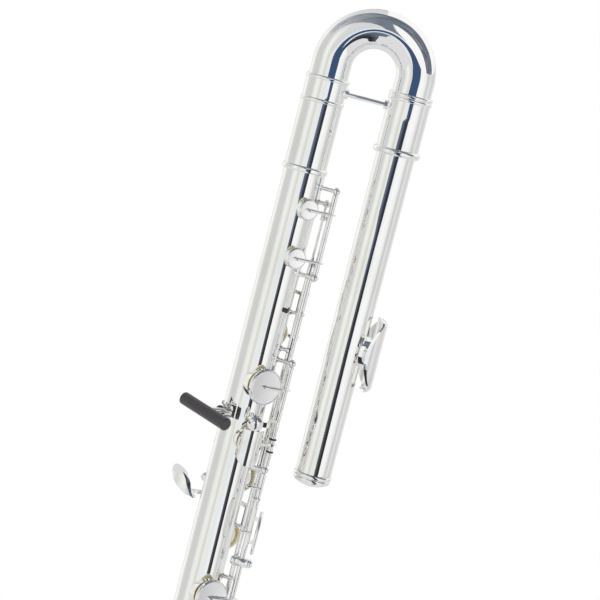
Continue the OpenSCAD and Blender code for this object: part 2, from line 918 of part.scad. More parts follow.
module trill_touch(z) {
  translate([0, 0, z - touch_arm_w / 2])
    linear_extrude(height = touch_arm_w)
      polygon([
        trill_line + [-sleeve_tube_r + 0.5, 0.6],
        touch_bend_near,
        touch_bend_far,
        touch_plate_at + [0, 0.4],
        touch_plate_at + [0, 0.4 - touch_arm_t],
        touch_bend_far + [1, -touch_arm_t - 0.8],
        touch_bend_near + [touch_arm_t, -1],
        trill_line + [sleeve_tube_r - 0.5, -0.6]
      ]);
  translate([touch_plate_at[0], touch_plate_at[1], z])
    rotate([0, 0, front_hole_phi - 6])
      rotate([90, 0, 0])
        rotate_extrude()
          polygon([
            [0, -0.7],
            [touch_plate_r, -0.7],
            [touch_plate_r, 0.4],
            [touch_plate_r * 0.6, 1.2],
            [0, 1.5]
          ]);
}

module dsharp_trill_lever() {
  touch_z = f_z - trill_touch_drop;
  color(silver) {
    at_line(trill_line, trill_low_z - ball_r)
      cylinder(r = axle_r, h = trill_top_z - trill_low_z + 2 * ball_r);
    difference() {
      at_line(trill_line, trill_tip_z - 1)
        cylinder(r = sleeve_tube_r, h = tail_w + 2);
      at_line(trill_line, trill_tip_z - 2)
        cylinder(r = axle_r, h = tail_w + 4);
    }
    difference() {
      trill_finger(trill_tip_z);
      at_line(trill_line, trill_tip_z - 2)
        cylinder(r = axle_r, h = tail_w + 4);
    }
    difference() {
      union() {
        trill_touch(touch_z);
        at_line(trill_line, touch_z - touch_tube_h / 2)
          cylinder(r = sleeve_tube_r, h = touch_tube_h);
      }
      at_line(trill_line, touch_z - touch_tube_h)
        cylinder(r = axle_r, h = 2 * touch_tube_h);
    }
  }
}

module d_trill_lever() {
  touch_z = fsharp_z - trill_touch_drop;
  low = touch_z - touch_tube_h / 2;
  high = d_trill_tip_z + tail_w + 2;
  color(silver)
    difference() {
      union() {
        at_line(trill_line, low)
          cylinder(r = sleeve_tube_r, h = high - low);
        trill_finger(d_trill_tip_z);
        trill_touch(touch_z);
      }
      at_line(trill_line, low - cut)
        cylinder(r = axle_hole_r, h = high - low + 2 * cut);
    }
}

// The domed round touch for the first finger, on a short arm from the front line
index_touch_z = index_low + 8;
index_touch_r = 6.6;
index_touch_h = 4.6;
index_arm_w = 4;
index_arm_t = 1.5;
index_touch_at = [12.8, -32.4];
index_bend_near = front_line + [-2.5, -8];
index_bend_far = [20.6, -28.2];

module index_lever() {
  color(silver)
    difference() {
      union() {
        at_line(front_line, index_low)
          cylinder(r = hinge_r, h = index_top - index_low);
        translate([0, 0, index_touch_z - index_arm_w / 4])
          linear_extrude(height = index_arm_w)
            polygon([
              front_line + [-1, hinge_r],
              index_bend_near,
              index_bend_far,
              index_touch_at + [0, 1.8],
              index_touch_at + [0, 0.2],
              index_bend_far + [1.4, -1.4],
              index_bend_near + [2 * index_arm_t, 0],
              front_line + [1, hinge_r]
            ]);
        translate([index_touch_at[0], index_touch_at[1], index_touch_z + index_arm_w / 4])
          rotate([0, 0, front_hole_phi - 5])
            rotate([90, 0, 0])
              rotate_extrude()
                polygon(concat(
                  [[0, -index_arm_t], [index_touch_r, -index_arm_t]],
                  [for (i = [0 : 8])
                    [index_touch_r * cos(i * 90 / 8), index_touch_h * sin(i * 90 / 8)]]
                ));
      }
      at_line(front_line, index_low - cut)
        cylinder(r = rod_hole_r, h = index_top - index_low + 2 * cut);
    }
}

// Open keys are drawn closed and turned open about their hinge line
module front_open() {
  turned(front_line, open_turn)
    children();
}

module thumb_open() {
  turned(thumb_line, -open_turn)
    children();
}

module rear_open() {
  turned(rear_line, open_turn)
    children();
}

module csharp_key() {
  color(silver)
    thumb_open()
      key(thumb_hole_phi, csharp_z, vent_hole_r, thumb_phi, thumb_r,
        thumb_post_zs[1] + after, thumb_post_zs[0] - after, seat_gap, hinge_r, rod_hole_r);
}

module csharp_pad() {
  color(gold_skin)
    thumb_open()
      on_side(thumb_hole_phi, csharp_z)
        pad_disc(vent_hole_r, seat_gap);
}

// The thumb key's long arm runs behind the tube to a paddle on the left
paddle_x = -36;
paddle_y = 14;
paddle_z = 522;
paddle_r = 10.6;
paddle_t = 1.4;
paddle_bowl_r = 40;
paddle_turn = -14;
thumb_arm_z = (a_z + gsharp_z) / 2 + 0.5;
thumb_arm_h = 3.2;

module thumb_arm() {
  translate([0, 0, thumb_arm_z - thumb_arm_h / 2])
    linear_extrude(height = thumb_arm_h)
      polygon([
        [thumb_line[0] + 1.4, thumb_line[1] + 1],
        [thumb_line[0] - 1.6, 17.5],
        [15, 26.5],
        [0, 29],
        [-14, 27.5],
        [-24, 21.5],
        [-32.5, 14],
        [-31.5, 11.8],
        [-24, 19.2],
        [-14, 25],
        [0, 26.4],
        [14, 24.2],
        [thumb_line[0] - 4, 16.5],
        [thumb_line[0] - 1.4, thumb_line[1] - 1]
      ]);
}

// Leaf-shaped outline of the thumb paddle in shares of its radius, with its stalk at the lower right
module paddle_outline() {
  scale([paddle_r, paddle_r])
    polygon([
      [-1.04, 0.45],
      [-0.98, 0.1],
      [-0.79, -0.32],
      [-0.4, -0.71],
      [0, -0.95],
      [0.35, -1.1],
      [0.8, -1.15],
      [1.5, -1.15],
      [1.5, -0.95],
      [1.2, -0.86],
      [0.92, -0.68],
      [0.68, -0.3],
      [0.47, 0.09],
      [0.15, 0.55],
      [-0.31, 0.86],
      [-0.6, 0.95],
      [-0.88, 0.9],
      [-1.02, 0.7]
    ]);
}

// Thumb paddle: a leaf cut from a shallow bowl
module thumb_paddle() {
  translate([paddle_x, paddle_y, paddle_z])
    rotate([0, 0, paddle_turn])
      rotate([90, 0, 0])
        intersection() {
          translate([0, 0, paddle_bowl_r - 2])
            difference() {
              sphere(r = paddle_bowl_r);
              sphere(r = paddle_bowl_r - paddle_t);
            }
          translate([0, 0, -3])
            linear_extrude(height = 10)
              paddle_outline();
        }
}

module thumb_key() {
  color(silver)
    thumb_open()
      key(thumb_hole_phi, c_z, big_hole_r, thumb_phi, thumb_r,
        thumb_post_zs[2] + after, thumb_post_zs[1] - after, seat_gap, hinge_r, rod_hole_r) {
        thumb_arm();
        thumb_paddle();
      }
}

module thumb_pad() {
  color(gold_skin)
    thumb_open()
      on_side(thumb_hole_phi, c_z)
        pad_disc(big_hole_r, seat_gap);
}

// Small second thumb touch: a lever on the rear line with a round button at the tube's left edge
button_z = 529;
button_r = 3.9;
button_at = [-16.6, 14.6];

module thumb_bflat_lever() {
  low = rear_post_zs[1] + after;
  high = rear_post_zs[0] - after;
  color(silver)
    difference() {
      union() {
        at_line(rear_line, low)
          cylinder(r = hinge_r, h = high - low);
        translate([0, 0, low + 1])
          linear_extrude(height = 5)
            polygon([
              rear_line + [1.4, 1],
              rear_line + [-2.6, 0.4],
              button_at + [-0.6, 5.2],
              button_at + [1.6, 4.6],
              rear_line + [-2, -2.4],
              rear_line + [1.4, -1]
            ]);
        translate([button_at[0], button_at[1] + 2.2, button_z - 3])
          cube([1.6, 3, low - button_z + 9]);
        translate([button_at[0], button_at[1], button_z])
          sphere(r = button_r, $fn = 48);
      }
      at_line(rear_line, low - cut)
        cylinder(r = rod_hole_r, h = high - low + 2 * cut);
    }
}

module b_key() {
  color(silver)
    front_open()
      key(front_hole_phi, b_z, big_hole_r, front_phi, front_r, b_low, b_top,
        seat_gap, hinge_r, rod_hole_r);
}

module b_pad() {
  color(gold_skin)
    front_open()
      on_side(front_hole_phi, b_z)
        pad_disc(big_hole_r, seat_gap);
}

// Long curved finger plate over the B flat cup, carried by a bridge on the cup's lower half
plate_len = 30;
plate_w = 20;
plate_top_z = index_low + 2;

module finger_plate() {
  radius = 13;
  axis_r = 16.5;
  thickness = 1.3;
  phi = front_hole_phi - 3;
  translate([axis_r * sin(phi), -axis_r * cos(phi), plate_top_z - plate_len])
    rotate([0, 0, phi])
      intersection() {
        pipe(0, plate_len, radius, radius - thickness);
        rotate([90, 0, 0])
          translate([0, 0, cup_top_r + cup_dome - axis_r])
            linear_extrude(height = 2 * radius)
              finger_plate_outline();
      }
  on_side(phi, plate_top_z - plate_len * 0.4)
    translate([-1.5, -2, cup_top_r])
      cube([3, 7, axis_r + radius - cup_top_r - thickness / 2]);
}

module finger_plate_outline() {
  corner = 8;
  translate([-plate_w / 2, corner])
    square([plate_w, plate_len - corner]);
  translate([plate_w / 2 - corner, corner])
    circle(r = corner);
  translate([-plate_w / 2 + corner, corner])
    circle(r = corner);
  translate([-plate_w / 2 + corner, 0])
    square([plate_w - 2 * corner, plate_len]);
}

module bflat_key() {
  color(silver)
    front_open()
      key(front_hole_phi, bflat_z, bflat_hole_r, front_phi, front_r, bflat_low, bflat_top,
        seat_gap, hinge_r, rod_hole_r)
        finger_plate();
}

module bflat_pad() {
  color(gold_skin)
    front_open()
      on_side(front_hole_phi, bflat_z)
        pad_disc(bflat_hole_r, seat_gap);
}

module a_key() {
  color(silver)
    rear_open()
      key(rear_hole_phi, a_z, big_hole_r, rear_phi, rear_r,
        rear_post_zs[2] + after, rear_post_zs[1] - after, seat_gap, hinge_r, rod_hole_r);
}

module a_pad() {
  color(gold_skin)
    rear_open()
      on_side(rear_hole_phi, a_z)
        pad_disc(big_hole_r, seat_gap);
}

module gsharp_key() {
  high = rear_post_zs[3] - after;
  low = rear_post_zs[4] + after;
  touch_z = gsharp_z - 9;
  color(silver)
    key(rear_hole_phi, gsharp_z, big_hole_r, rear_phi, rear_r, low, high,
      seat_gap, hinge_r, rod_hole_r)
      translate([rear_line[0], rear_line[1], touch_z - 4])
        rotate([0, 0, 112])
          translate([0, -1, 0])
            cube([12, 1.8, 8]);
}

module gsharp_pad() {
  color(gold_skin)
    on_side(rear_hole_phi, gsharp_z)
      pad_disc(big_hole_r, seat_gap);
}

// The ring finger's round plate stands edge-on beside the front line, on two arms
ring_plate_r = 17.5;
ring_plate_z = 500;

module ring_plate() {
  plate_x = front_line[0] + 4.6;
  plate_y = front_line[1] - 9;
  translate([plate_x, plate_y, ring_plate_z])
    rotate([0, 90, -open_turn])
      rotate_extrude()
        polygon([
          [0, 0],
          [ring_plate_r - 1.2, 0],
          [ring_plate_r - 1.2, -0.6],
          [ring_plate_r, -0.6],
          [ring_plate_r, 1.8],
          [ring_plate_r - 1, 2.2],
          [0, 1.5]
        ]);
  for (dz = [-10, 10])
    translate([front_line[0], front_line[1] - 1.5, ring_plate_z + dz - 1.6])
      cube([5.2, 3, 3.2]);
}

module g_key() {
  color(silver)
    front_open()
      key(front_hole_phi, g_z, big_hole_r, front_phi, front_r, g_low, g_top,
        seat_gap, hinge_r, rod_hole_r)
        ring_plate();
}

module g_pad() {
  color(gold_skin)
    front_open()
      on_side(front_hole_phi, g_z)
        pad_disc(big_hole_r, seat_gap);
}

module fsharp_key() {
  color(silver)
    front_open()
      key(front_hole_phi, fsharp_z, big_hole_r, front_phi, front_r, fsharp_low, fsharp_top,
        seat_gap, hinge_r, rod_hole_r);
}

module fsharp_pad() {
  color(gold_skin)
    front_open()
      on_side(front_hole_phi, fsharp_z)
        pad_disc(big_hole_r, seat_gap);
}

module f_key() {
  color(silver)
    front_open()
      key(front_hole_phi, f_z, big_hole_r, front_phi, front_r, f_low, f_top,
        seat_gap, hinge_r, rod_hole_r);
}

module f_pad() {
  color(gold_skin)
    front_open()
      on_side(front_hole_phi, f_z)
        pad_disc(big_hole_r, seat_gap);
}

module e_key() {
  color(silver)
    front_open()
      key(front_hole_phi, e_z, big_hole_r, front_phi, front_r, e_low, e_top,
        seat_gap, hinge_r, rod_hole_r);
}

module e_pad() {
  color(gold_skin)
    front_open()
      on_side(front_hole_phi, e_z)
        pad_disc(big_hole_r, seat_gap);
}

// Hand crutch: saddle on the tube, post in its socket, black grip across the post's end

saddle_half = 26;
saddle_h = 17;
saddle_t = 1.6;
socket_out = 9;
crutch_post_gap = 0.05;

module crutch_saddle() {
  socket_r = crutch_post_r + 2;
  color(silver)
    difference() {
      union() {
        rotate([0, 0, crutch_phi - saddle_half - 90])
          rotate_extrude(angle = 2 * saddle_half)
            translate([body_r, crutch_z - saddle_h / 2])
              square([saddle_t, saddle_h]);
        on_side(crutch_phi, crutch_z)
          cylinder(r = socket_r, h = body_r + socket_out);
      }
      translate([0, 0, crutch_z - saddle_h])
        cylinder(r = body_r, h = 2 * saddle_h);
      on_side(crutch_phi, crutch_z)
        translate([0, 0, body_r + 2])
          cylinder(r = crutch_post_r + crutch_post_gap, h = crutch_reach);
      crutch_screw_hole(1.5);
    }
}

// The clamp screw enters the socket from above
module crutch_screw_hole(r) {
  on_side(crutch_phi, crutch_z)
    translate([0, crutch_post_r + crutch_post_gap, body_r + socket_out / 2 + 1])
      rotate([-90, 0, 0])
        cylinder(r = r, h = 20);
}

module crutch_screw() {
  color(silver)
    on_side(crutch_phi, crutch_z)
      translate([0, 0, body_r + socket_out / 2 + 1])
        rotate([-90, 0, 0]) {
          translate([0, 0, crutch_post_r + crutch_post_gap + 0.1])
            cylinder(r = 1.45, h = 5);
          translate([0, 0, crutch_post_r + 3.6])
            cylinder(r = 3, h = 2.2);
        }
}

grip_tilt = 6.5;

module crutch_post() {
  color(silver)
    difference() {
      on_side(crutch_phi, crutch_z)
        translate([0, 0, body_r + 2.3])
          cylinder(r = crutch_post_r, h = crutch_reach - body_r - 2.3);
      grip_bar(grip_r - 1.4);
    }
}

// Places the grip across the end of the post, tilted like the hand
module grip_bar(r) {
  on_side(crutch_phi, crutch_z)
    translate([0, 0, crutch_reach])
      rotate([0, 0, -grip_tilt])
        rotate([0, 90, 0])
          translate([0, 0, -grip_len / 2])
            cylinder(r = r, h = grip_len);
}

module crutch_grip() {
  edge = 1;
  color(grip_black)
    difference() {
      on_side(crutch_phi, crutch_z)
        translate([0, 0, crutch_reach])
          rotate([0, 0, -grip_tilt])
            rotate([0, 90, 0])
              translate([0, 0, -grip_len / 2]) {
                translate([0, 0, edge])
                  cylinder(r = grip_r, h = grip_len - 2 * edge);
                cylinder(r1 = grip_r - edge, r2 = grip_r, h = edge);
                translate([0, 0, grip_len - edge])
                  cylinder(r1 = grip_r, r2 = grip_r - edge, h = edge);
              }
      on_side(crutch_phi, crutch_z)
        difference() {
          cylinder(r = crutch_post_r, h = crutch_reach);
          translate([0, 0, crutch_reach])
            rotate([0, 0, -grip_tilt])
              rotate([0, 90, 0])
                cylinder(r = grip_r - 1.4, h = 4 * grip_r, center = true);
        }
    }
}

// Foot joint

foot_socket_r = body_r + run_gap + foot_socket_wall;
foot_ring_out = 1.4;
foot_ring_h = 4;
foot_axle_low_z = low_c_z - 24;
foot_axle_high_z = eflat_z - 13;
eflat_post_z = eflat_z + 17.5;
socket_lap = 1.2;

module foot_tube() {
  color(silver)
    difference() {
      union() {
        cylinder(r = body_r, h = foot_tube_top_z);
        translate([0, 0, foot_tube_top_z - socket_lap])
          cylinder(r = foot_socket_r, h = foot_socket_top_z - foot_tube_top_z + socket_lap);
        bead(foot_socket_top_z - foot_ring_h, foot_socket_top_z, foot_socket_r + foot_ring_out, body_bore_r);
        bead(0, foot_ring_h, body_r + foot_ring_out, body_bore_r);
        for (hole = FOOT_HOLES)
          chimney_outside(hole[0], hole[1], hole[2]);
      }
      translate([0, 0, -cut])
        cylinder(r = foot_bore_r, h = foot_bore_len + 2 * cut);
      translate([0, 0, foot_bore_len])
        cylinder(r = body_bore_r, h = foot_tube_top_z);
      translate([0, 0, foot_tube_top_z])
        cylinder(r = body_r + run_gap, h = foot_socket_top_z);
      for (hole = FOOT_HOLES)
        chimney_hole(hole[0], hole[1], hole[2]);
    }
}

module foot_posts() {
  color(silver) {
    post(front_phi, front_r, foot_axle_low_z, axle_hole_r);
    post(front_phi, front_r, foot_axle_high_z, axle_hole_r);
    post(front_phi, front_r, eflat_post_z, rod_r);
    difference() {
      strap(front_phi, foot_axle_low_z - 8, eflat_post_z - 4, 9);
      for (hole = FOOT_HOLES)
        on_side(hole[0], hole[1])
          cylinder(r = rim_r(hole[2]) + 0.3, h = seat_r);
    }
    strap(front_phi, eflat_post_z - 4, foot_tube_top_z - socket_lap - end_gap, 9);
  }
}

module foot_springs() {
  color(steel) {
    rod(front_line, foot_axle_high_z + ball_r, eflat_post_z + ball_r);
    for (z = [foot_axle_low_z, foot_axle_high_z])
      needle(front_phi, front_r, z, 14);
  }
}

module eflat_key() {
  color(silver)
    key(front_hole_phi, eflat_z, big_hole_r, front_phi, front_r,
      foot_axle_high_z + after + 0.4, eflat_post_z - after, seat_gap, hinge_r, rod_hole_r)
      translate([front_line[0], front_line[1] - 1, eflat_z - 5])
        rotate([0, 0, -20])
          cube([15, 2, 12]);
}

module eflat_pad() {
  color(gold_skin)
    on_side(front_hole_phi, eflat_z)
      pad_disc(big_hole_r, seat_gap);
}

low_tube_half = 15;
csharp_touch_h = 9;
low_csharp_high_z = low_csharp_z + 2 * low_tube_half + 1;

// Little-finger touch of the foot's C sharp and C keys, swung over the tube at a height
little_bend = [21, -25];
little_tip = [9, -29.5];
little_t = 1.8;

module little_touch(z, height) {
  translate([0, 0, z])
    linear_extrude(height = height)
      polygon([
        front_line + [-1, 1],
        front_line + [-3.4, -8],
        little_bend,
        little_tip,
        little_tip + [-0.4, -little_t],
        little_bend + [1, -little_t],
        front_line + [-0.8, -8.6],
        front_line + [1, 1]
      ]);
}

module low_csharp_key() {
  color(silver)
    front_open()
      key(front_hole_phi, low_csharp_z, big_hole_r, front_phi, front_r,
        low_csharp_z - low_tube_half, low_csharp_high_z, seat_gap, hinge_r, axle_hole_r)
        little_touch(low_csharp_high_z - csharp_touch_h, csharp_touch_h);
}

module low_csharp_pad() {
  color(gold_skin)
    front_open()
      on_side(front_hole_phi, low_csharp_z)
        pad_disc(big_hole_r, seat_gap);
}

roller_r = 2;
roller_pin_r = 0.7;
roller_lug_t = 1;
roller_lug_r = roller_r + 0.4;
roller_x = little_tip[0] + 2;
roller_y = little_tip[1] - little_t - 0.1 - roller_r;
low_touch_z = low_csharp_high_z + 2;
low_touch_h = 11;

module low_c_key() {
  color(silver)
    front_open() {
      key(front_hole_phi, low_c_z, big_hole_r, front_phi, front_r,
        low_c_z - low_tube_half, low_c_z + low_tube_half, seat_gap, hinge_r, axle_r);
      at_line(front_line, foot_axle_low_z - ball_r)
        cylinder(r = axle_r, h = foot_axle_high_z - foot_axle_low_z + 2 * ball_r);
      difference() {
        union() {
          at_line(front_line, low_touch_z)
            cylinder(r = hinge_r, h = low_touch_h);
          little_touch(low_touch_z, low_touch_h);
          for (z = [low_touch_z, low_touch_z + low_touch_h - roller_lug_t]) {
            translate([roller_x, roller_y, z])
              cylinder(r = roller_lug_r, h = roller_lug_t);
            translate([roller_x - roller_lug_r / 2, roller_y, z])
              cube([roller_lug_r, roller_r + little_t * 0.8, roller_lug_t]);
          }
          translate([roller_x, roller_y, low_touch_z])
            cylinder(r = roller_pin_r, h = low_touch_h);
        }
        at_line(front_line, low_touch_z - cut)
          cylinder(r = axle_r, h = low_touch_h + 2 * cut);
      }
    }
}

module low_c_pad() {
  color(gold_skin)
    front_open()
      on_side(front_hole_phi, low_c_z)
        pad_disc(big_hole_r, seat_gap);
}

module touch_roller() {
  color(silver)
    front_open()
      translate([roller_x, roller_y, 0])
        pipe(low_touch_z + roller_lug_t + end_gap, low_touch_z + low_touch_h - roller_lug_t - end_gap,
          roller_r, roller_pin_r + run_gap);
}

body_tube();
barrel_sleeve();
rib_straps();
key_posts();
hinge_rods();
needle_springs();
crutch_saddle();
crutch_post();
crutch_grip();
crutch_screw();
crook_tube();
crook_tenon();
crook_head_leg();
crook_body_sleeve();
head_socket_sleeve();
crook_brace();
head_tube();
lip_riser();
lip_plate();
stopper_cork();
stopper_screw();
crown();
dsharp_trill_key();
dsharp_trill_pad();
d_trill_key();
d_trill_pad();
dsharp_trill_lever();
d_trill_lever();
index_lever();
csharp_key();
csharp_pad();
thumb_key();
thumb_pad();
thumb_bflat_lever();
b_key();
b_pad();
bflat_key();
bflat_pad();
a_key();
a_pad();
gsharp_key();
gsharp_pad();
g_key();
g_pad();
fsharp_key();
fsharp_pad();
f_key();
f_pad();
e_key();
e_pad();
foot_tube();
foot_posts();
foot_springs();
eflat_key();
eflat_pad();
low_csharp_key();
low_csharp_pad();
low_c_key();
low_c_pad();
touch_roller();
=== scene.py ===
import bmesh
import bpy
import math
import numpy as np
from mathutils import Matrix, Vector


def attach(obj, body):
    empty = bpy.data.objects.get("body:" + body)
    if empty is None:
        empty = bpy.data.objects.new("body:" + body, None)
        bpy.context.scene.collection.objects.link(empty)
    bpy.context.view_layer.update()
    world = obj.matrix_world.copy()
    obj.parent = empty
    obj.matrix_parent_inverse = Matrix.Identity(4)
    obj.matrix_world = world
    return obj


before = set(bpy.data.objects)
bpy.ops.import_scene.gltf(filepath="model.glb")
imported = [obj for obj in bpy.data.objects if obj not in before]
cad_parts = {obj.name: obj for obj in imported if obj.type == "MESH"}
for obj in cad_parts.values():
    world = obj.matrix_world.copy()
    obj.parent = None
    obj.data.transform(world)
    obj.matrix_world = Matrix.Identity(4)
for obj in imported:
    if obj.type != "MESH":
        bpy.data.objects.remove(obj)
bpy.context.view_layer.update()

# Studio: a white tent of soft light. Polished silver shows the tent: grey cloth at the left, a
# lilac fold at the right, and a dark opening overhead that the crook mirrors. Matt surfaces and the
# background see plain white.
scene = bpy.context.scene
scene.view_settings.view_transform = "Standard"


def maths(tree, operation, first, second=0.0, third=0.0):
    """One maths node; each input is a number or the output of another node."""
    node = tree.nodes.new("ShaderNodeMath")
    node.operation = operation
    for place, value in enumerate((first, second, third)):
        if isinstance(value, (int, float)):
            node.inputs[place].default_value = value
        else:
            tree.links.new(value, node.inputs[place])
    return node.outputs[0]


def rise(tree, value, low, high):
    """A smooth step: 0 below low, 1 above high, with an S-shaped climb between."""
    node = tree.nodes.new("ShaderNodeMapRange")
    node.interpolation_type = "SMOOTHSTEP"
    tree.links.new(value, node.inputs["Value"])
    node.inputs["From Min"].default_value = low
    node.inputs["From Max"].default_value = high
    return node.outputs[0]


def colour_steps(tree, value, stops):
    """A colour ramp through (place, colour) stops, with colours given as they look on screen."""
    node = tree.nodes.new("ShaderNodeValToRGB")
    tree.links.new(value, node.inputs[0])
    while len(node.color_ramp.elements) > 1:
        node.color_ramp.elements.remove(node.color_ramp.elements[0])
    for index, (place, colour) in enumerate(stops):
        stop = node.color_ramp.elements[0] if index == 0 else node.color_ramp.elements.new(place)
        stop.position = place
        stop.color = (*(part ** 2.2 for part in colour), 1)
    return node.outputs[0]


def blended(tree, amount, first, second):
    """Mix of two colours; the amount and each colour are a value or another node's output."""
    node = tree.nodes.new("ShaderNodeMix")
    node.data_type = "RGBA"
    sockets = node.inputs[0], node.inputs[6], node.inputs[7]
    for socket, value in zip(sockets, (amount, first, second)):
        if isinstance(value, bpy.types.NodeSocket):
            tree.links.new(value, socket)
        elif isinstance(value, float):
            socket.default_value = value
        else:
            socket.default_value = (*(part ** 2.2 for part in value), 1)
    return node.outputs[2]


room = bpy.data.worlds.new("white_tent")
scene.world = room
room.use_nodes = True
tent = room.node_tree
tent.nodes.clear()
tent_direction = tent.nodes.new("ShaderNodeTexCoord")
tent_split = tent.nodes.new("ShaderNodeSeparateXYZ")
tent.links.new(tent_direction.outputs["Generated"], tent_split.inputs[0])
to_right, to_back, to_top = tent_split.outputs
to_front = maths(tent, "MULTIPLY", to_back, -1.0)
around = maths(tent, "ARCTAN2", to_right, to_front)
bearing = maths(tent, "MULTIPLY_ADD", around, 0.5 / math.pi, 0.5)
white_cloth, cream_cloth = (0.99, 0.99, 0.985), (0.925, 0.93, 0.905)
grey_cloth, edge_grey = (0.815, 0.82, 0.815), (0.70, 0.70, 0.69)
blue_cloth, lilac_cloth = (0.94, 0.955, 0.975), (0.785, 0.785, 0.80)
# The walls by bearing in degrees: 0 is the front, positive to the right, 180 the back
wall_tones = (
    (-180, edge_grey), (-167, (0.84, 0.84, 0.83)), (-152, (0.95, 0.95, 0.94)), (-140, white_cloth),
    (-124, (0.96, 0.96, 0.95)), (-112, (0.85, 0.85, 0.845)), (-100, grey_cloth), (-70, grey_cloth),
    (-58, (0.92, 0.92, 0.91)), (-46, (0.96, 0.965, 0.95)), (-36, (0.90, 0.905, 0.88)),
    (-27, (0.835, 0.84, 0.815)), (-18, cream_cloth), (-3, (0.91, 0.925, 0.93)),
    (4, (0.90, 0.92, 0.935)), (22, blue_cloth), (40, white_cloth), (58, (0.965, 0.965, 0.965)),
    (65, (0.94, 0.94, 0.94)), (74, (0.85, 0.85, 0.86)), (81, lilac_cloth),
    (87, (0.82, 0.82, 0.825)), (94, (0.90, 0.90, 0.90)), (104, (0.87, 0.87, 0.87)),
    (120, (0.82, 0.82, 0.82)), (140, (0.86, 0.86, 0.86)), (152, (0.93, 0.93, 0.925)),
    (165, (0.85, 0.85, 0.845)), (180, edge_grey))
wall_stops = [((angle + 180) / 360, tone) for angle, tone in wall_tones]
tent_walls = colour_steps(tent, bearing, wall_stops)
# The opening overhead, on a plane above: across is the way to the right divided by the height, and
# near is the way to the front divided by the height
height = maths(tent, "MAXIMUM", to_top, 0.02)
across = maths(tent, "DIVIDE", to_right, height)
near = maths(tent, "DIVIDE", to_front, height)
left_side = maths(tent, "MINIMUM", across, 0.0)
right_side = maths(tent, "MAXIMUM", across, 0.0)
far_right = maths(tent, "MULTIPLY_ADD", right_side, -0.2, -0.13)
far_edge = maths(tent, "MULTIPLY_ADD", left_side, 0.5, far_right)
left_curve = maths(tent, "DIVIDE", 1.0, maths(tent, "SUBTRACT", 0.25, left_side))
left_edge = maths(tent, "ADD", left_curve, -0.15)
right_edge = maths(tent, "MULTIPLY_ADD", right_side, 0.4, 0.8)
is_left = rise(tent, maths(tent, "MULTIPLY", across, -1.0), -0.12, 0.02)
edge_gap = maths(tent, "SUBTRACT", left_edge, right_edge)
near_edge = maths(tent, "MULTIPLY_ADD", is_left, edge_gap, right_edge)
beyond_far = rise(tent, maths(tent, "SUBTRACT", near, far_edge), -0.04, 0.04)
before_near = rise(tent, maths(tent, "SUBTRACT", near_edge, near), -0.06, 0.1)
inside = maths(tent, "MULTIPLY", before_near, rise(tent, to_top, 0.17, 0.2))
opening = maths(tent, "MULTIPLY", beyond_far, inside)
opening = maths(tent, "MULTIPLY", opening, rise(tent, across, -2.3, -1.5))
# A narrow slit runs to the front from the opening, widening a little on the way
slit_off = maths(tent, "ABSOLUTE", maths(tent, "MULTIPLY_ADD", near, -0.05, across))
slit_side = rise(tent, maths(tent, "MULTIPLY_ADD", near, -0.03, slit_off), 0.05, 0.13)
slit_end = maths(tent, "MULTIPLY", rise(tent, near, 0.4, 0.7), rise(tent, to_top, 0.08, 0.13))
slit = maths(tent, "MULTIPLY", maths(tent, "SUBTRACT", 1.0, slit_side), slit_end)
# What shows in the opening: streaks of darker and paler grey, paler to the left
streaks = tent.nodes.new("ShaderNodeTexNoise")
streaks.inputs["Scale"].default_value = 5.0
streak_place = tent.nodes.new("ShaderNodeCombineXYZ")
tent.links.new(maths(tent, "MULTIPLY", near, 3.0), streak_place.inputs[0])
tent.links.new(maths(tent, "MULTIPLY", across, 0.3), streak_place.inputs[1])
tent.links.new(streak_place.outputs[0], streaks.inputs["Vector"])
dark_streak = rise(tent, streaks.outputs[0], 0.4, 0.62)
pale_streak = rise(tent, streaks.outputs[0], 0.42, 0.55)
dark_tone = blended(tent, dark_streak, (0.28, 0.31, 0.35), (0.55, 0.58, 0.62))
pale_tone = blended(tent, pale_streak, (0.52, 0.55, 0.58), (0.80, 0.81, 0.82))
opening_tone = blended(tent, rise(tent, across, -1.3, 0.1), pale_tone, dark_tone)
# Under the walls a pale grey floor, over them a ceiling that starts at another height on each side
below = maths(tent, "SUBTRACT", 1.0, rise(tent, to_top, -0.36, -0.28))
walls_down = blended(tent, below, tent_walls, (0.87, 0.87, 0.88))
above = blended(tent, rise(tent, bearing, 0.497, 0.51), (0.83, 0.84, 0.85), (0.985, 0.985, 0.985))
over_left = rise(tent, to_top, 0.3, 0.75)
over_middle = rise(tent, to_top, 0.03, 0.09)
over_right = rise(tent, to_top, 0.16, 0.19)
is_middle, is_right = rise(tent, bearing, 0.41, 0.46), rise(tent, bearing, 0.565, 0.58)
middle_gap = maths(tent, "SUBTRACT", over_middle, over_left)
over_amount = maths(tent, "MULTIPLY_ADD", is_middle, middle_gap, over_left)
right_gap = maths(tent, "SUBTRACT", over_right, over_amount)
over_amount = maths(tent, "MULTIPLY_ADD", is_right, right_gap, over_amount)
overhead = blended(tent, over_amount, walls_down, above)
with_opening = blended(tent, opening, overhead, opening_tone)
with_slit = blended(tent, slit, with_opening, (0.45, 0.49, 0.54))
paths = tent.nodes.new("ShaderNodeLightPath")
plain_light = tent.nodes.new("ShaderNodeBackground")
plain_light.inputs["Color"].default_value = (1, 1, 1, 1)
mirror_view = tent.nodes.new("ShaderNodeBackground")
tent.links.new(with_slit, mirror_view.inputs["Color"])
tent_mix = tent.nodes.new("ShaderNodeMixShader")
tent.links.new(paths.outputs["Is Glossy Ray"], tent_mix.inputs[0])
tent.links.new(plain_light.outputs[0], tent_mix.inputs[1])
tent.links.new(mirror_view.outputs[0], tent_mix.inputs[2])
tent_out = tent.nodes.new("ShaderNodeOutputWorld")
tent.links.new(tent_mix.outputs[0], tent_out.inputs[0])

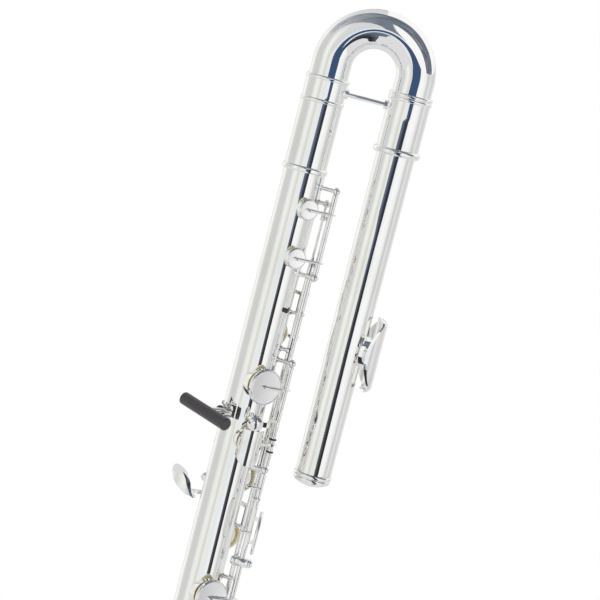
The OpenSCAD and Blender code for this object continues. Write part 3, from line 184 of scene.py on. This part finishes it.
# Dark card: a narrow glowing strip, hung close in front of the flute where studios hang blue-black
# paper to draw a crisp dark line down polished tubes. Only mirror images show it: its glow is a
# painted reflection. Its edges are given from level to level, and the painted reflection is bluer
# at the top, where the crook mirrors it.
card_distance = 0.22
card_columns = 9
card_levels = [-0.20, 0.20, 0.41, 0.50, 0.635, 0.728, 0.745, 0.765, 0.85, 0.853, 0.868, 0.872,
               0.895, 0.93]
card_left = [0.22, 0.165, 0.118, 0.095, 0.064, 0.052, 0.050, 0.024, 0.028, 0.082, 0.078, -0.01,
             -0.01, 0.08]
card_right = [0.42, 0.330, 0.250, 0.212, 0.152, 0.135, 0.135, 0.140, 0.146, 0.158, 0.160, 0.170,
              0.175, 0.175]


def hung_strip(levels, left, right, depth, columns):
    """A flat strip at one depth: each level is a row of points that run evenly left to right."""
    share = np.linspace(0, 1, columns)[None, :]
    left_side, right_side = np.array(left)[:, None], np.array(right)[:, None]
    across_strip = left_side + (right_side - left_side) * share
    up = np.repeat(np.array(levels)[:, None], columns, 1)
    points = np.stack([across_strip, np.full(up.shape, -depth), up], -1).reshape(-1, 3)
    row, column = np.meshgrid(np.arange(len(levels) - 1), np.arange(columns - 1), indexing="ij")
    corner = (row * columns + column).ravel()
    return points, np.stack([corner, corner + 1, corner + columns + 1, corner + columns], -1)


card_mesh = bpy.data.meshes.new("dark_card")
card_points, card_faces = hung_strip(card_levels, card_left, card_right, card_distance,
                                     card_columns)
card_mesh.from_pydata(card_points.tolist(), [], card_faces.tolist())
card = bpy.data.objects.new("dark_card", card_mesh)
scene.collection.objects.link(card)
card.visible_camera = card.visible_diffuse = card.visible_shadow = card.visible_transmission = False
card_uv = card_mesh.uv_layers.new(name="across")
card_share = np.arange(len(card_points)) % card_columns / (card_columns - 1)
card_corners = np.zeros(len(card_mesh.loops), np.int32)
card_mesh.loops.foreach_get("vertex_index", card_corners)
card_uv.data.foreach_set("uv", np.repeat(card_share[card_corners], 2))
# Painted reflection: the card's material glows with its own tones instead of taking light.
card_reflection_glow = bpy.data.materials.new("card_reflection_glow")
card_reflection_glow.use_nodes = True
sheet = card_reflection_glow.node_tree
sheet.nodes.clear()
sheet_place = sheet.nodes.new("ShaderNodeTexCoord")
sheet_split = sheet.nodes.new("ShaderNodeSeparateXYZ")
sheet.links.new(sheet_place.outputs["UV"], sheet_split.inputs[0])
sheet_tone = colour_steps(sheet, sheet_split.outputs[0], [
    (0.0, (0.42, 0.46, 0.53)), (0.35, (0.33, 0.37, 0.43)), (0.5, (0.23, 0.245, 0.28)),
    (1.0, (0.19, 0.20, 0.235))])
sheet_height = sheet.nodes.new("ShaderNodeSeparateXYZ")
sheet.links.new(sheet_place.outputs["Object"], sheet_height.inputs[0])
neutral_below, neutral_above = 0.66, 0.74
blue_below, blue_above = 0.84, 0.87
sheet_low = colour_steps(sheet, sheet_split.outputs[0], [
    (0.0, (0.37, 0.375, 0.39)), (0.35, (0.29, 0.295, 0.31)), (0.5, (0.21, 0.21, 0.225)),
    (1.0, (0.19, 0.19, 0.20))])
sheet_grey = blended(sheet, rise(sheet, sheet_height.outputs[2], neutral_below, neutral_above),
                     sheet_low, sheet_tone)
sheet_blue = blended(sheet, rise(sheet, sheet_height.outputs[2], blue_below, blue_above),
                     sheet_grey, (0.25, 0.33, 0.46))
# The tones above are emitted. They are painted dark reflection bands, bluer where the crook mirrors
# them.
sheet_glow = sheet.nodes.new("ShaderNodeEmission")
sheet.links.new(sheet_blue, sheet_glow.inputs["Color"])
sheet_out = sheet.nodes.new("ShaderNodeOutputMaterial")
sheet.links.new(sheet_glow.outputs[0], sheet_out.inputs[0])
card_mesh.materials.append(card_reflection_glow)

# Floor: a round pale sheet under the upright flute, fading to the white of the tent at its rim.
# It is far below the view of the photograph.
floor_radius, floor_level = 0.9, -0.001
floor_rings, floor_spokes = 24, 96
fade_from, fade_to = 0.25, 0.88


def round_sheet(radius, rings, spokes, level):
    """Points at radius * i / rings and angle 2 pi j / spokes round the origin, ring by ring."""
    ring, spoke = np.meshgrid(np.arange(1, rings + 1), np.arange(spokes), indexing="ij")
    reach, angle = radius * ring / rings, 2 * np.pi * spoke / spokes
    points = np.stack([reach * np.cos(angle), reach * np.sin(angle), np.full(ring.shape, level)],
                      -1).reshape(-1, 3)
    here = (ring[:-1] - 1) * spokes + spoke[:-1]
    beside = (ring[:-1] - 1) * spokes + (spoke[:-1] + 1) % spokes
    bands = np.stack([here, here + spokes, beside + spokes, beside], -1).reshape(-1, 4)
    middle = len(points)
    fan = np.stack([np.full(spokes, middle), np.arange(spokes), (np.arange(spokes) + 1) % spokes],
                   -1)
    return np.vstack([points, [(0, 0, level)]]), bands.tolist() + fan.tolist()


floor_mesh = bpy.data.meshes.new("floor")
floor_points, floor_faces = round_sheet(floor_radius, floor_rings, floor_spokes, floor_level)
floor_mesh.from_pydata(floor_points.tolist(), [], floor_faces)
floor = bpy.data.objects.new("floor", floor_mesh)
scene.collection.objects.link(floor)
floor.visible_glossy = False
floor_paper = bpy.data.materials.new("floor_paper")
floor_paper.use_nodes = True
paper = floor_paper.node_tree
paper_shader = paper.nodes["Principled BSDF"]
paper_shader.inputs["Base Color"].default_value = (0.86, 0.86, 0.86, 1)
paper_shader.inputs["Roughness"].default_value = 0.9
paper_place = paper.nodes.new("ShaderNodeTexCoord")
paper_reach = paper.nodes.new("ShaderNodeVectorMath")
paper_reach.operation = "LENGTH"
paper.links.new(paper_place.outputs["Object"], paper_reach.inputs[0])
paper_glow = paper.nodes.new("ShaderNodeEmission")
paper_mix = paper.nodes.new("ShaderNodeMixShader")
paper.links.new(rise(paper, paper_reach.outputs["Value"], fade_from, fade_to), paper_mix.inputs[0])
paper.links.new(paper_shader.outputs[0], paper_mix.inputs[1])
paper.links.new(paper_glow.outputs[0], paper_mix.inputs[2])
paper.links.new(paper_mix.outputs[0], paper.nodes["Material Output"].inputs[0])
floor_mesh.materials.append(floor_paper)

# Camera: a studio view from the front, a little above, rolled so that the flute leans right.
eye_distance = 1.9
eye_elevation = math.radians(6.5)
eye_roll = math.radians(14.43)
look_at = Vector((0.0228, 0.0, 0.6935))
frame_width = 0.600 / 1.2245
eye = bpy.data.cameras.new("eye")
eye_object = bpy.data.objects.new("eye", eye)
scene.collection.objects.link(eye_object)
scene.camera = eye_object
back = Vector((0, -math.cos(eye_elevation), math.sin(eye_elevation)))
turn = back.to_track_quat("Z", "Y").to_matrix().to_4x4() @ Matrix.Rotation(eye_roll, 4, "Z")
eye_object.matrix_world = Matrix.Translation(look_at + back * eye_distance) @ turn
eye.sensor_width = 36
eye.lens = 36 * eye_distance / frame_width
eye.clip_end = 20

# Tubes: the body with its tone-hole chimneys, the barrel, the foot and the head tube. They are
# drawn from sheet silver over a steel rod, plated and buffed lengthwise, so they carry hair-fine
# marks along the bore.
tube_mark_scale = (900.0, 900.0, 14.0)
tube_cloud_scale = 22.0


def buffed_metal(name, bright, dull, smooth, worn, marks, mark_scale, cloud_scale, wave):
    """Plated metal: clouds of a duller tone and stretched marks set colour and roughness."""
    made = bpy.data.materials.new(name)
    made.use_nodes = True
    tree = made.node_tree
    shader = tree.nodes["Principled BSDF"]
    shader.inputs["Metallic"].default_value = 1.0
    place = tree.nodes.new("ShaderNodeTexCoord")
    cloud = tree.nodes.new("ShaderNodeTexNoise")
    cloud.inputs["Scale"].default_value = cloud_scale
    cloud.inputs["Detail"].default_value = 4.0
    tree.links.new(place.outputs["Object"], cloud.inputs["Vector"])
    stretch = tree.nodes.new("ShaderNodeMapping")
    stretch.inputs["Scale"].default_value = mark_scale
    tree.links.new(place.outputs["Object"], stretch.inputs["Vector"])
    mark = tree.nodes.new("ShaderNodeTexNoise")
    mark.inputs["Scale"].default_value = 1.0
    mark.inputs["Detail"].default_value = 3.0
    tree.links.new(stretch.outputs[0], mark.inputs["Vector"])
    tone = rise(tree, cloud.outputs[0], 0.45, 0.75)
    tree.links.new(blended(tree, tone, bright, dull), shader.inputs["Base Color"])
    rub = maths(tree, "MULTIPLY_ADD", mark.outputs[0], marks,
                maths(tree, "MULTIPLY", tone, worn - smooth))
    tree.links.new(maths(tree, "ADD", rub, smooth - marks / 2), shader.inputs["Roughness"])
    dent = tree.nodes.new("ShaderNodeBump")
    dent.inputs["Strength"].default_value = wave
    dent.inputs["Distance"].default_value = 0.0001
    tree.links.new(mark.outputs[0], dent.inputs["Height"])
    tree.links.new(dent.outputs[0], shader.inputs["Normal"])
    return made


def finish(material, *names):
    """Gives CAD nodes one material in place of their plain colour."""
    for name in names:
        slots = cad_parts[name].data.materials
        slots.clear()
        slots.append(material)


drawn_silver = buffed_metal(
    "drawn_silver", (0.985, 0.985, 0.98), (0.965, 0.963, 0.952), 0.035, 0.06, 0.02,
    tube_mark_scale, tube_cloud_scale, 0.02)
finish(drawn_silver, "body_tube", "barrel_sleeve", "foot_tube", "head_tube")

# Crook: two short legs and a bend of the same tube, with thicker sleeves and turned rings at both
# ends and a thin brace between the legs. All of it is soft-soldered and buffed as one.
crook_silver = buffed_metal(
    "crook_silver", (0.985, 0.985, 0.98), (0.96, 0.958, 0.948), 0.03, 0.055, 0.015,
    (300.0, 300.0, 300.0), 30.0, 0.015)
finish(crook_silver, "crook_tube", "crook_tenon", "crook_head_leg", "crook_body_sleeve",
       "head_socket_sleeve", "crook_brace")

# Lip plate and riser: a bent oval of thicker silver on a short chimney, worn by the chin.
lip_silver = buffed_metal(
    "lip_silver", (0.98, 0.98, 0.975), (0.94, 0.935, 0.92), 0.05, 0.12, 0.03,
    (500.0, 500.0, 500.0), 60.0, 0.02)
finish(lip_silver, "lip_plate", "lip_riser")

# Crown and stopper: the turned end cap screws on the stopper's rod, and the cork seals the tube.
turned_silver = buffed_metal(
    "turned_silver", (0.98, 0.98, 0.975), (0.95, 0.947, 0.935), 0.04, 0.08, 0.025,
    (80.0, 80.0, 2400.0), 45.0, 0.02)
finish(turned_silver, "crown", "stopper_screw")

cork = bpy.data.materials.new("cork")
cork.use_nodes = True
bark = cork.node_tree
bark_shader = bark.nodes["Principled BSDF"]
bark_shader.inputs["Roughness"].default_value = 0.8
bark_place = bark.nodes.new("ShaderNodeTexCoord")
bark_cells = bark.nodes.new("ShaderNodeTexVoronoi")
bark_cells.inputs["Scale"].default_value = 900.0
bark.links.new(bark_place.outputs["Object"], bark_cells.inputs["Vector"])
bark_specks = bark.nodes.new("ShaderNodeTexNoise")
bark_specks.inputs["Scale"].default_value = 350.0
bark.links.new(bark_place.outputs["Object"], bark_specks.inputs["Vector"])
bark_tone = blended(bark, bark_cells.outputs["Distance"], (0.66, 0.49, 0.32), (0.78, 0.62, 0.44))
bark_fleck = rise(bark, bark_specks.outputs[0], 0.6, 0.7)
bark.links.new(blended(bark, bark_fleck, bark_tone, (0.38, 0.25, 0.15)),
               bark_shader.inputs["Base Color"])
bark_dent = bark.nodes.new("ShaderNodeBump")
bark_dent.inputs["Distance"].default_value = 0.0002
bark.links.new(bark_cells.outputs["Distance"], bark_dent.inputs["Height"])
bark.links.new(bark_dent.outputs[0], bark_shader.inputs["Normal"])
finish(cork, "stopper_cork")

# Ribs and posts: narrow straps of silver soldered along the tube, with turned posts screwed in.
mount_silver = buffed_metal(
    "mount_silver", (0.975, 0.975, 0.97), (0.93, 0.927, 0.915), 0.05, 0.11, 0.03,
    (700.0, 700.0, 700.0), 70.0, 0.03)
finish(mount_silver, "rib_straps", "key_posts", "foot_posts")

# Steels: the hinge rods are ground steel, and the needle springs are blued wire.
ground_steel = buffed_metal(
    "ground_steel", (0.80, 0.81, 0.83), (0.70, 0.71, 0.73), 0.10, 0.18, 0.06,
    (1800.0, 1800.0, 60.0), 90.0, 0.04)
finish(ground_steel, "hinge_rods", "touch_roller")
blued_wire = buffed_metal(
    "blued_wire", (0.34, 0.38, 0.50), (0.25, 0.27, 0.36), 0.20, 0.30, 0.06,
    (2500.0, 2500.0, 90.0), 120.0, 0.04)
finish(blued_wire, "needle_springs", "foot_springs")

# Keys and levers: forged and brazed silver cups, arms and touches, buffed by hand after fitting.
key_silver = buffed_metal(
    "key_silver", (0.98, 0.98, 0.975), (0.945, 0.942, 0.93), 0.035, 0.09, 0.02,
    (600.0, 600.0, 600.0), 80.0, 0.02)
finish(key_silver, *(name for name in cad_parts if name.endswith(("_key", "_lever"))))

# Key arms and cup rims: each cup carries a half-round arm that tapers to a point past its hinge
# tube, and a thin turned bead at the edge of its lid. Both are brazed on and polished with the cup.
tube_outer = 0.0166
seat_radius = tube_outer + 0.0032
cup_phi, cup_lift = 30, 0.00015
hinge_phi, hinge_radius = 75.8, 0.0305
pad_past_hole, cup_wall = 0.0021, 0.0007
lid_height, lid_step = 0.00315, 0.00095
arm_height, arm_crown, arm_sections, arm_steps = 0.00084, 0.0011, 17, 13
rim_bead, bead_around, bead_section = 0.00045, 72, 10
dish_inset, dish_sink, dish_around = 0.0009, 0.0005, 64
# For each key: the cup's height on the tube, the tone hole's radius, and the angle it stands open
cup_specs = {
    "dsharp_trill_key": (0.7680, 0.0060, 0.0), "d_trill_key": (0.7275, 0.0060, 0.0),
    "b_key": (0.6200, 0.0122, 7.5), "g_key": (0.4400, 0.0122, 7.5),
    "fsharp_key": (0.3870, 0.0122, 7.5), "f_key": (0.3310, 0.0122, 7.5),
    "e_key": (0.2720, 0.0122, 7.5)}


def on_flute(points, level, turn):
    """Key-side points (right, up the tube, outward) to the flute's frame: outward is the cups'
    bearing from the front, and the whole key is turned about its upright hinge line."""
    face, hinge, swing = math.radians(cup_phi), math.radians(hinge_phi), math.radians(turn)
    tangent = np.array([math.cos(face), math.sin(face), 0.0])
    outward = np.array([math.sin(face), -math.cos(face), 0.0])
    upward = np.array([0, 0, 1.0])
    placed = points[:, :1] * tangent + points[:, 2:] * outward + (points[:, 1:2] + level) * upward
    pivot = np.array([hinge_radius * math.sin(hinge), -hinge_radius * math.cos(hinge), 0.0])
    cosine, sine = math.cos(swing), math.sin(swing)
    spin = np.array([[cosine, -sine, 0], [sine, cosine, 0], [0, 0, 1]])
    return (placed - pivot) @ spin.T + pivot


def grid_faces(rows, columns, closed):
    """Quads of a grid of points; a closed grid joins its last column to its first."""
    row, column = np.meshgrid(np.arange(rows - 1), np.arange(columns if closed else columns - 1),
                              indexing="ij")
    here, beside = row * columns + column, row * columns + (column + 1) % columns
    return np.stack([here, beside, beside + columns, here + columns], -1).reshape(-1, 4)


def half_round_bar(path, half_widths, crown, steps):
    """A bar along a path of (across, outward) points: each section is the upper half of an ellipse
    half_width wide and crown high, closed below by a flat return."""
    angle = np.linspace(0, np.pi, steps)[None, :]
    path, half_widths = np.array(path), np.array(half_widths)[:, None]
    up_tube = np.cos(angle) * half_widths
    out = path[:, 1:] + np.sin(angle) * crown * np.minimum(1, half_widths / half_widths.max() * 1.3)
    along = np.broadcast_to(path[:, :1], up_tube.shape)
    return np.stack([along, up_tube, out], -1).reshape(-1, 3)


def ring_bead(radius, thickness, height, around, section):
    """A torus: the section circle of the given thickness runs round at the radius and height."""
    turn, roll = np.meshgrid(np.linspace(0, 2 * np.pi, around, endpoint=False),
                             np.linspace(0, 2 * np.pi, section, endpoint=False), indexing="ij")
    reach = radius + thickness * np.cos(roll)
    points = np.stack([reach * np.cos(turn), reach * np.sin(turn),
                       height + thickness * np.sin(roll)], -1).reshape(-1, 3)
    here = np.arange(around)[:, None] * section + np.arange(section)[None, :]
    ahead = ((np.arange(around)[:, None] + 1) % around) * section + np.arange(section)[None, :]
    quads = np.stack([here, ahead, np.roll(ahead, -1, 1), np.roll(here, -1, 1)], -1)
    return points, quads.reshape(-1, 4)


def made_piece(name, points, faces, material, body, smooth=True):
    """A mesh object at the origin with outward faces, one material, and the body it rides on."""
    mesh = bpy.data.meshes.new(name)
    mesh.from_pydata(points.tolist(), [], [list(face) for face in faces])
    mesh.materials.append(material)
    mesh.polygons.foreach_set("use_smooth", [smooth] * len(mesh.polygons))
    work = bmesh.new()
    work.from_mesh(mesh)
    bmesh.ops.recalc_face_normals(work, faces=work.faces)
    work.to_mesh(mesh)
    work.free()
    piece = bpy.data.objects.new(name, mesh)
    scene.collection.objects.link(piece)
    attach(piece, body)
    return piece


bend = math.radians(hinge_phi - cup_phi)
hinge_x, hinge_z = hinge_radius * math.sin(bend), hinge_radius * math.cos(bend)
bar_stations = [0, 0.25, 0.55, 0.85, 1.0]
bar_share = np.linspace(0, 1, arm_sections)
bar_widths = np.interp(bar_share, bar_stations, [0.0007, 0.0014, 0.00118, 0.0010, 0.0004])
bar_last = (arm_sections - 1) * arm_steps
bar_ends = [list(range(arm_steps)), list(range(bar_last + arm_steps - 1, bar_last - 1, -1))]
bar_faces = grid_faces(arm_sections, arm_steps, True).tolist() + bar_ends
lid = seat_radius + cup_lift + lid_height
top = lid + arm_height
dish_share = np.array([0.02, 0.2, 0.4, 0.6, 0.8, 0.94, 1.0, 1.0])
dish_turns = np.linspace(0, 2 * np.pi, dish_around, endpoint=False)
dish_reach, dish_angle = np.meshgrid(dish_share, dish_turns, indexing="ij")
dish_drop = np.array([0, 0, 0, 0, 0, 0, 0, dish_sink + 0.0006])[:, None]
dish_out = lid + lid_step + dish_sink * dish_reach ** 2 - dish_drop
dish_last = (len(dish_share) - 1) * dish_around
dish_ends = [list(range(dish_around)), list(range(dish_last + dish_around - 1, dish_last - 1, -1))]
dish_faces = grid_faces(len(dish_share), dish_around, True).tolist() + dish_ends
for key_name, (level, hole, turn_open) in cup_specs.items():
    rim = hole + pad_past_hole + cup_wall
    # The arm's spine, from the cup's far side over its middle and down past the hinge tube
    spine = np.array([(-rim * 0.3, top + 0.0012), (0, top + 0.0020), (rim * 0.9, top + 0.0020),
                      (hinge_x, max(hinge_z + 0.0023, top + 0.0008)),
                      (hinge_x + 0.0045, hinge_z + 0.0014)])
    path = np.stack([np.interp(bar_share, bar_stations, spine[:, k]) for k in (0, 1)], -1)
    bar = half_round_bar(path, bar_widths, arm_crown, arm_steps)
    made_piece(key_name + "_arm_ridge", on_flute(bar, level, turn_open), bar_faces, key_silver,
               key_name)
    dish_radius = rim - dish_inset
    dish = np.stack([dish_reach * dish_radius * np.cos(dish_angle),
                     dish_reach * dish_radius * np.sin(dish_angle), dish_out], -1).reshape(-1, 3)
    made_piece(key_name + "_lid_dish", on_flute(dish, level, turn_open), dish_faces, key_silver,
               key_name)
    bead_height = lid + lid_step + dish_sink * 0.7
    bead, bead_faces = ring_bead(dish_radius, rim_bead, bead_height, bead_around, bead_section)
    made_piece(key_name + "_rim_bead", on_flute(bead, level, turn_open), bead_faces, key_silver,
               key_name)

# Hinge line fittings: a fat clutch barrel, two bridge bars and two adjusting screws, turned from
# silver and brazed on the hinge tube of the G key, and a rolled rim on the ring finger's plate.
front_x = hinge_radius * math.sin(math.radians(hinge_phi))
front_y = -hinge_radius * math.cos(math.radians(hinge_phi))


def turned_bar(start, end, stations, radii, around):
    """A bar turned on a lathe: circles of the given radii at shares of the way from start to end,
    set out along two directions square to that line."""
    start, end = np.array(start), np.array(end)
    line = (end - start) / np.linalg.norm(end - start)
    side = np.cross(line, [0.0, 0.0, 1.0])
    side = side / np.linalg.norm(side)
    rise_way = np.cross(side, line)
    share, angle = np.meshgrid(np.array(stations),
                               np.linspace(0, 2 * np.pi, around, endpoint=False), indexing="ij")
    reach = np.array(radii)[:, None]
    points = (start + share[..., None] * (end - start) + (reach * np.cos(angle))[..., None] * side
              + (reach * np.sin(angle))[..., None] * rise_way).reshape(-1, 3)
    count = len(stations)
    ends = [list(range(around)), list(range(count * around - 1, (count - 1) * around - 1, -1))]
    return points, grid_faces(count, around, True).tolist() + ends


barrel_stations = [0, 0.02, 0.07, 0.15, 0.2, 0.22, 0.24, 0.5, 0.78, 0.82, 0.84, 0.86, 0.93, 0.98, 1]
barrel_radii = [0.0022, 0.0029, 0.0036, 0.0040, 0.0041, 0.0037, 0.0041, 0.0042, 0.0041, 0.0040,
                0.0035, 0.0039, 0.0036, 0.0027, 0.0018]
barrel_left, barrel_right, barrel_level, barrel_around = 0.0205, 0.0388, 0.4718, 40
barrel = turned_bar((barrel_left, front_y, barrel_level), (barrel_right, front_y, barrel_level),
                    barrel_stations, barrel_radii, barrel_around)
made_piece("clutch_barrel", *barrel, key_silver, "g_key")
bridge_stations = [0, 0.03, 0.1, 0.14, 0.2, 0.5, 0.8, 0.86, 0.9, 0.97, 1]
bridge_radii = [0.0006, 0.0013, 0.0016, 0.0015, 0.0011, 0.0010, 0.0011, 0.0015, 0.0016, 0.0013,
                0.0006]
bridge_y, small_around = front_y - 0.0022, 28
for bridge_name, left_x, right_x, bridge_level in (
        ("upper_bridge_bar", 0.0176, 0.0312, 0.5350), ("lower_bridge_bar", 0.0215, 0.0322, 0.4975)):
    bridge = turned_bar((left_x, bridge_y, bridge_level), (right_x, bridge_y, bridge_level),
                        bridge_stations, bridge_radii, small_around)
    made_piece(bridge_name, *bridge, key_silver, "g_key")
screw_stations = [0, 0.5, 0.55, 0.8, 0.95, 1]
screw_radii = [0.0010, 0.0010, 0.0017, 0.0018, 0.0015, 0.0004]
screw_level, screw_length = 0.5262, 0.0050
for screw_name, screw_x in (
        ("left_adjusting_screw", front_x - 0.0030), ("right_adjusting_screw", front_x + 0.0010)):
    screw = turned_bar((screw_x, front_y, screw_level),
                       (screw_x, front_y - screw_length, screw_level),
                       screw_stations, screw_radii, small_around)
    made_piece(screw_name, *screw, key_silver, "g_key")
plate_radius, plate_edge, plate_centre = 0.0168, 0.0014, np.array([0.0361, -0.0158, 0.500])
plate_bead, plate_bead_faces = ring_bead(plate_radius, plate_edge, 0.0, 96, 14)
plate_rim = plate_bead[:, [2, 0, 1]] + plate_centre
made_piece("ring_plate_rim", plate_rim, plate_bead_faces, key_silver, "g_key")

# Thumb paddle edge: the leaf's right edge is turned back in a narrow rib that tapers at both ends.
# It is filed on the forged paddle and polished, and its slope mirrors the dark card.
edge_line = np.array([(0.01, 0.60), (0.26, 0.38), (0.51, 0.13), (0.67, -0.11), (0.83, -0.44),
                      (1.03, -0.76), (1.22, -0.97), (1.42, -1.07)])
edge_half_widths = [0.0001, 0.0007, 0.0011, 0.0014, 0.0011, 0.0008, 0.0008, 0.0004]
paddle_place = np.array([-0.036, 0.014, 0.522])
paddle_half, paddle_swing = 0.0106, math.radians(-14)
edge_slope, edge_sections, edge_corners = math.tan(math.radians(36)), 33, 7
bowl_depth, bowl_span = 0.002, 0.08
edge_proud, edge_sunk, edge_lean = 0.0005, 0.0006, 0.45


def edge_rib(line, half_widths, slope, sections):
    """A rib along a line on a bowl: each section is a wedge with its foot sunk in the bowl and a
    face that falls by the slope to the right. The bowl rises by distance squared over its span."""
    station, share = np.arange(len(line)), np.linspace(0, len(line) - 1, sections)
    middle = np.stack([np.interp(share, station, line[:, k]) for k in (0, 1)], -1)
    half = np.interp(share, station, half_widths)[:, None]
    sideways = half * np.array([[-1.0, -0.5, 0.0, 0.5, 1.0, 1.0, -1.0]])
    in_front = np.array([[1.0, 1.0, 1.0, 1.0, 1.0, 0.0, 0.0]])
    flat_x = middle[:, :1] + sideways
    flat_z = middle[:, 1:] + sideways * edge_lean
    bowl = bowl_depth - (middle[:, :1] ** 2 + middle[:, 1:] ** 2) / bowl_span
    face = bowl - edge_proud + slope * (sideways - half)
    return flat_x, face * in_front + (bowl + edge_sunk) * (1 - in_front), flat_z


rib_x, rib_depth, rib_z = edge_rib(edge_line * paddle_half, edge_half_widths, edge_slope,
                                   edge_sections)
rib_points = paddle_place + np.stack([
    rib_x * math.cos(paddle_swing) - rib_depth * math.sin(paddle_swing),
    rib_x * math.sin(paddle_swing) + rib_depth * math.cos(paddle_swing), rib_z], -1)
last_wedge = (edge_sections - 1) * edge_corners
rib_faces = grid_faces(edge_sections, edge_corners, True).tolist()
rib_faces += [list(range(edge_corners))]
rib_faces += [list(range(last_wedge + edge_corners - 1, last_wedge - 1, -1))]
made_piece("paddle_edge", rib_points.reshape(-1, 3), rib_faces, key_silver, "thumb_key", False)

# Bumpers: black felt washers round the hinge tubes and a felt foot on the body tube, which keep the
# keys from clicking. They are punched from felt and glued in place.
black_felt = bpy.data.materials.new("black_felt")
black_felt.use_nodes = True
felt = black_felt.node_tree
felt_shader = felt.nodes["Principled BSDF"]
felt_shader.inputs["Roughness"].default_value = 0.9
felt_shader.inputs["Sheen Weight"].default_value = 0.3
felt_place = felt.nodes.new("ShaderNodeTexCoord")
felt_fibre = felt.nodes.new("ShaderNodeTexNoise")
felt_fibre.inputs["Scale"].default_value = 2200.0
felt_fibre.inputs["Detail"].default_value = 6.0
felt.links.new(felt_place.outputs["Object"], felt_fibre.inputs["Vector"])
felt.links.new(blended(felt, felt_fibre.outputs[0], (0.13, 0.12, 0.13), (0.27, 0.25, 0.26)),
               felt_shader.inputs["Base Color"])
felt_dent = felt.nodes.new("ShaderNodeBump")
felt_dent.inputs["Distance"].default_value = 0.0002
felt.links.new(felt_fibre.outputs[0], felt_dent.inputs["Height"])
felt.links.new(felt_dent.outputs[0], felt_shader.inputs["Normal"])
washer_radius, washer_thick = 0.0024, 0.0008
washer, washer_faces = ring_bead(washer_radius, washer_thick, 0.0, 40, 12)
for washer_name, washer_level in (("upper_felt_washer", 0.5775), ("lower_felt_washer", 0.5668)):
    felt_ring = made_piece(washer_name, washer + np.array([front_x, front_y, washer_level]),
                           washer_faces, black_felt, "bflat_key")
foot_bearing, foot_level = math.radians(51), 0.6835
foot_way = np.array([math.sin(foot_bearing), -math.cos(foot_bearing), 0.0])
foot_inner, foot_outer = 0.0163, 0.0192
foot_place = np.array([0.0, 0.0, foot_level])
foot_bar = turned_bar(foot_place + foot_way * foot_inner, foot_place + foot_way * foot_outer,
                      [0, 0.05, 0.95, 1], [0.0018, 0.0020, 0.0020, 0.0017], small_around)
felt_foot = made_piece("felt_foot", *foot_bar, black_felt, "body_joint")

# Pads: felt discs wrapped in golden fish skin, which wrinkles finely and shines a little.
pad_skin = bpy.data.materials.new("pad_skin")
pad_skin.use_nodes = True
skin = pad_skin.node_tree
skin_shader = skin.nodes["Principled BSDF"]
skin_shader.inputs["Coat Weight"].default_value = 0.25
skin_shader.inputs["Coat Roughness"].default_value = 0.2
skin_place = skin.nodes.new("ShaderNodeTexCoord")
skin_folds = skin.nodes.new("ShaderNodeTexNoise")
skin_folds.inputs["Scale"].default_value = 260.0
skin_folds.inputs["Detail"].default_value = 8.0
skin_folds.inputs["Distortion"].default_value = 1.2
skin.links.new(skin_place.outputs["Object"], skin_folds.inputs["Vector"])
skin_patch = skin.nodes.new("ShaderNodeTexNoise")
skin_patch.inputs["Scale"].default_value = 70.0
skin.links.new(skin_place.outputs["Object"], skin_patch.inputs["Vector"])
skin_tone = blended(skin, rise(skin, skin_patch.outputs[0], 0.35, 0.65), (0.98, 0.92, 0.72),
                    (0.96, 0.87, 0.60))
skin_crest = rise(skin, skin_folds.outputs[0], 0.52, 0.72)
skin.links.new(blended(skin, skin_crest, skin_tone, (0.99, 0.96, 0.84)),
               skin_shader.inputs["Base Color"])
skin.links.new(maths(skin, "MULTIPLY_ADD", skin_folds.outputs[0], 0.3, 0.3),
               skin_shader.inputs["Roughness"])
skin_dent = skin.nodes.new("ShaderNodeBump")
skin_dent.inputs["Strength"].default_value = 0.5
skin_dent.inputs["Distance"].default_value = 0.0002
skin.links.new(skin_folds.outputs[0], skin_dent.inputs["Height"])
skin.links.new(skin_dent.outputs[0], skin_shader.inputs["Normal"])
finish(pad_skin, *(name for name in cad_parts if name.endswith("_pad")))

# Crutch: the hand rest, a black turned grip on a silver post that a screw clamps in its saddle.
finish(mount_silver, "crutch_saddle", "crutch_post", "crutch_screw")
black_resin = bpy.data.materials.new("black_resin")
black_resin.use_nodes = True
resin = black_resin.node_tree
resin_shader = resin.nodes["Principled BSDF"]
resin_place = resin.nodes.new("ShaderNodeTexCoord")
resin_grain = resin.nodes.new("ShaderNodeTexNoise")
resin_grain.inputs["Scale"].default_value = 420.0
resin_grain.inputs["Detail"].default_value = 5.0
resin.links.new(resin_place.outputs["Object"], resin_grain.inputs["Vector"])
resin.links.new(blended(resin, resin_grain.outputs[0], (0.20, 0.19, 0.20), (0.27, 0.255, 0.27)),
                resin_shader.inputs["Base Color"])
resin.links.new(maths(resin, "MULTIPLY_ADD", resin_grain.outputs[0], 0.25, 0.22),
                resin_shader.inputs["Roughness"])
resin_dent = resin.nodes.new("ShaderNodeBump")
resin_dent.inputs["Strength"].default_value = 0.15
resin_dent.inputs["Distance"].default_value = 0.0001
resin.links.new(resin_grain.outputs[0], resin_dent.inputs["Height"])
resin.links.new(resin_dent.outputs[0], resin_shader.inputs["Normal"])
finish(black_resin, "crutch_grip")
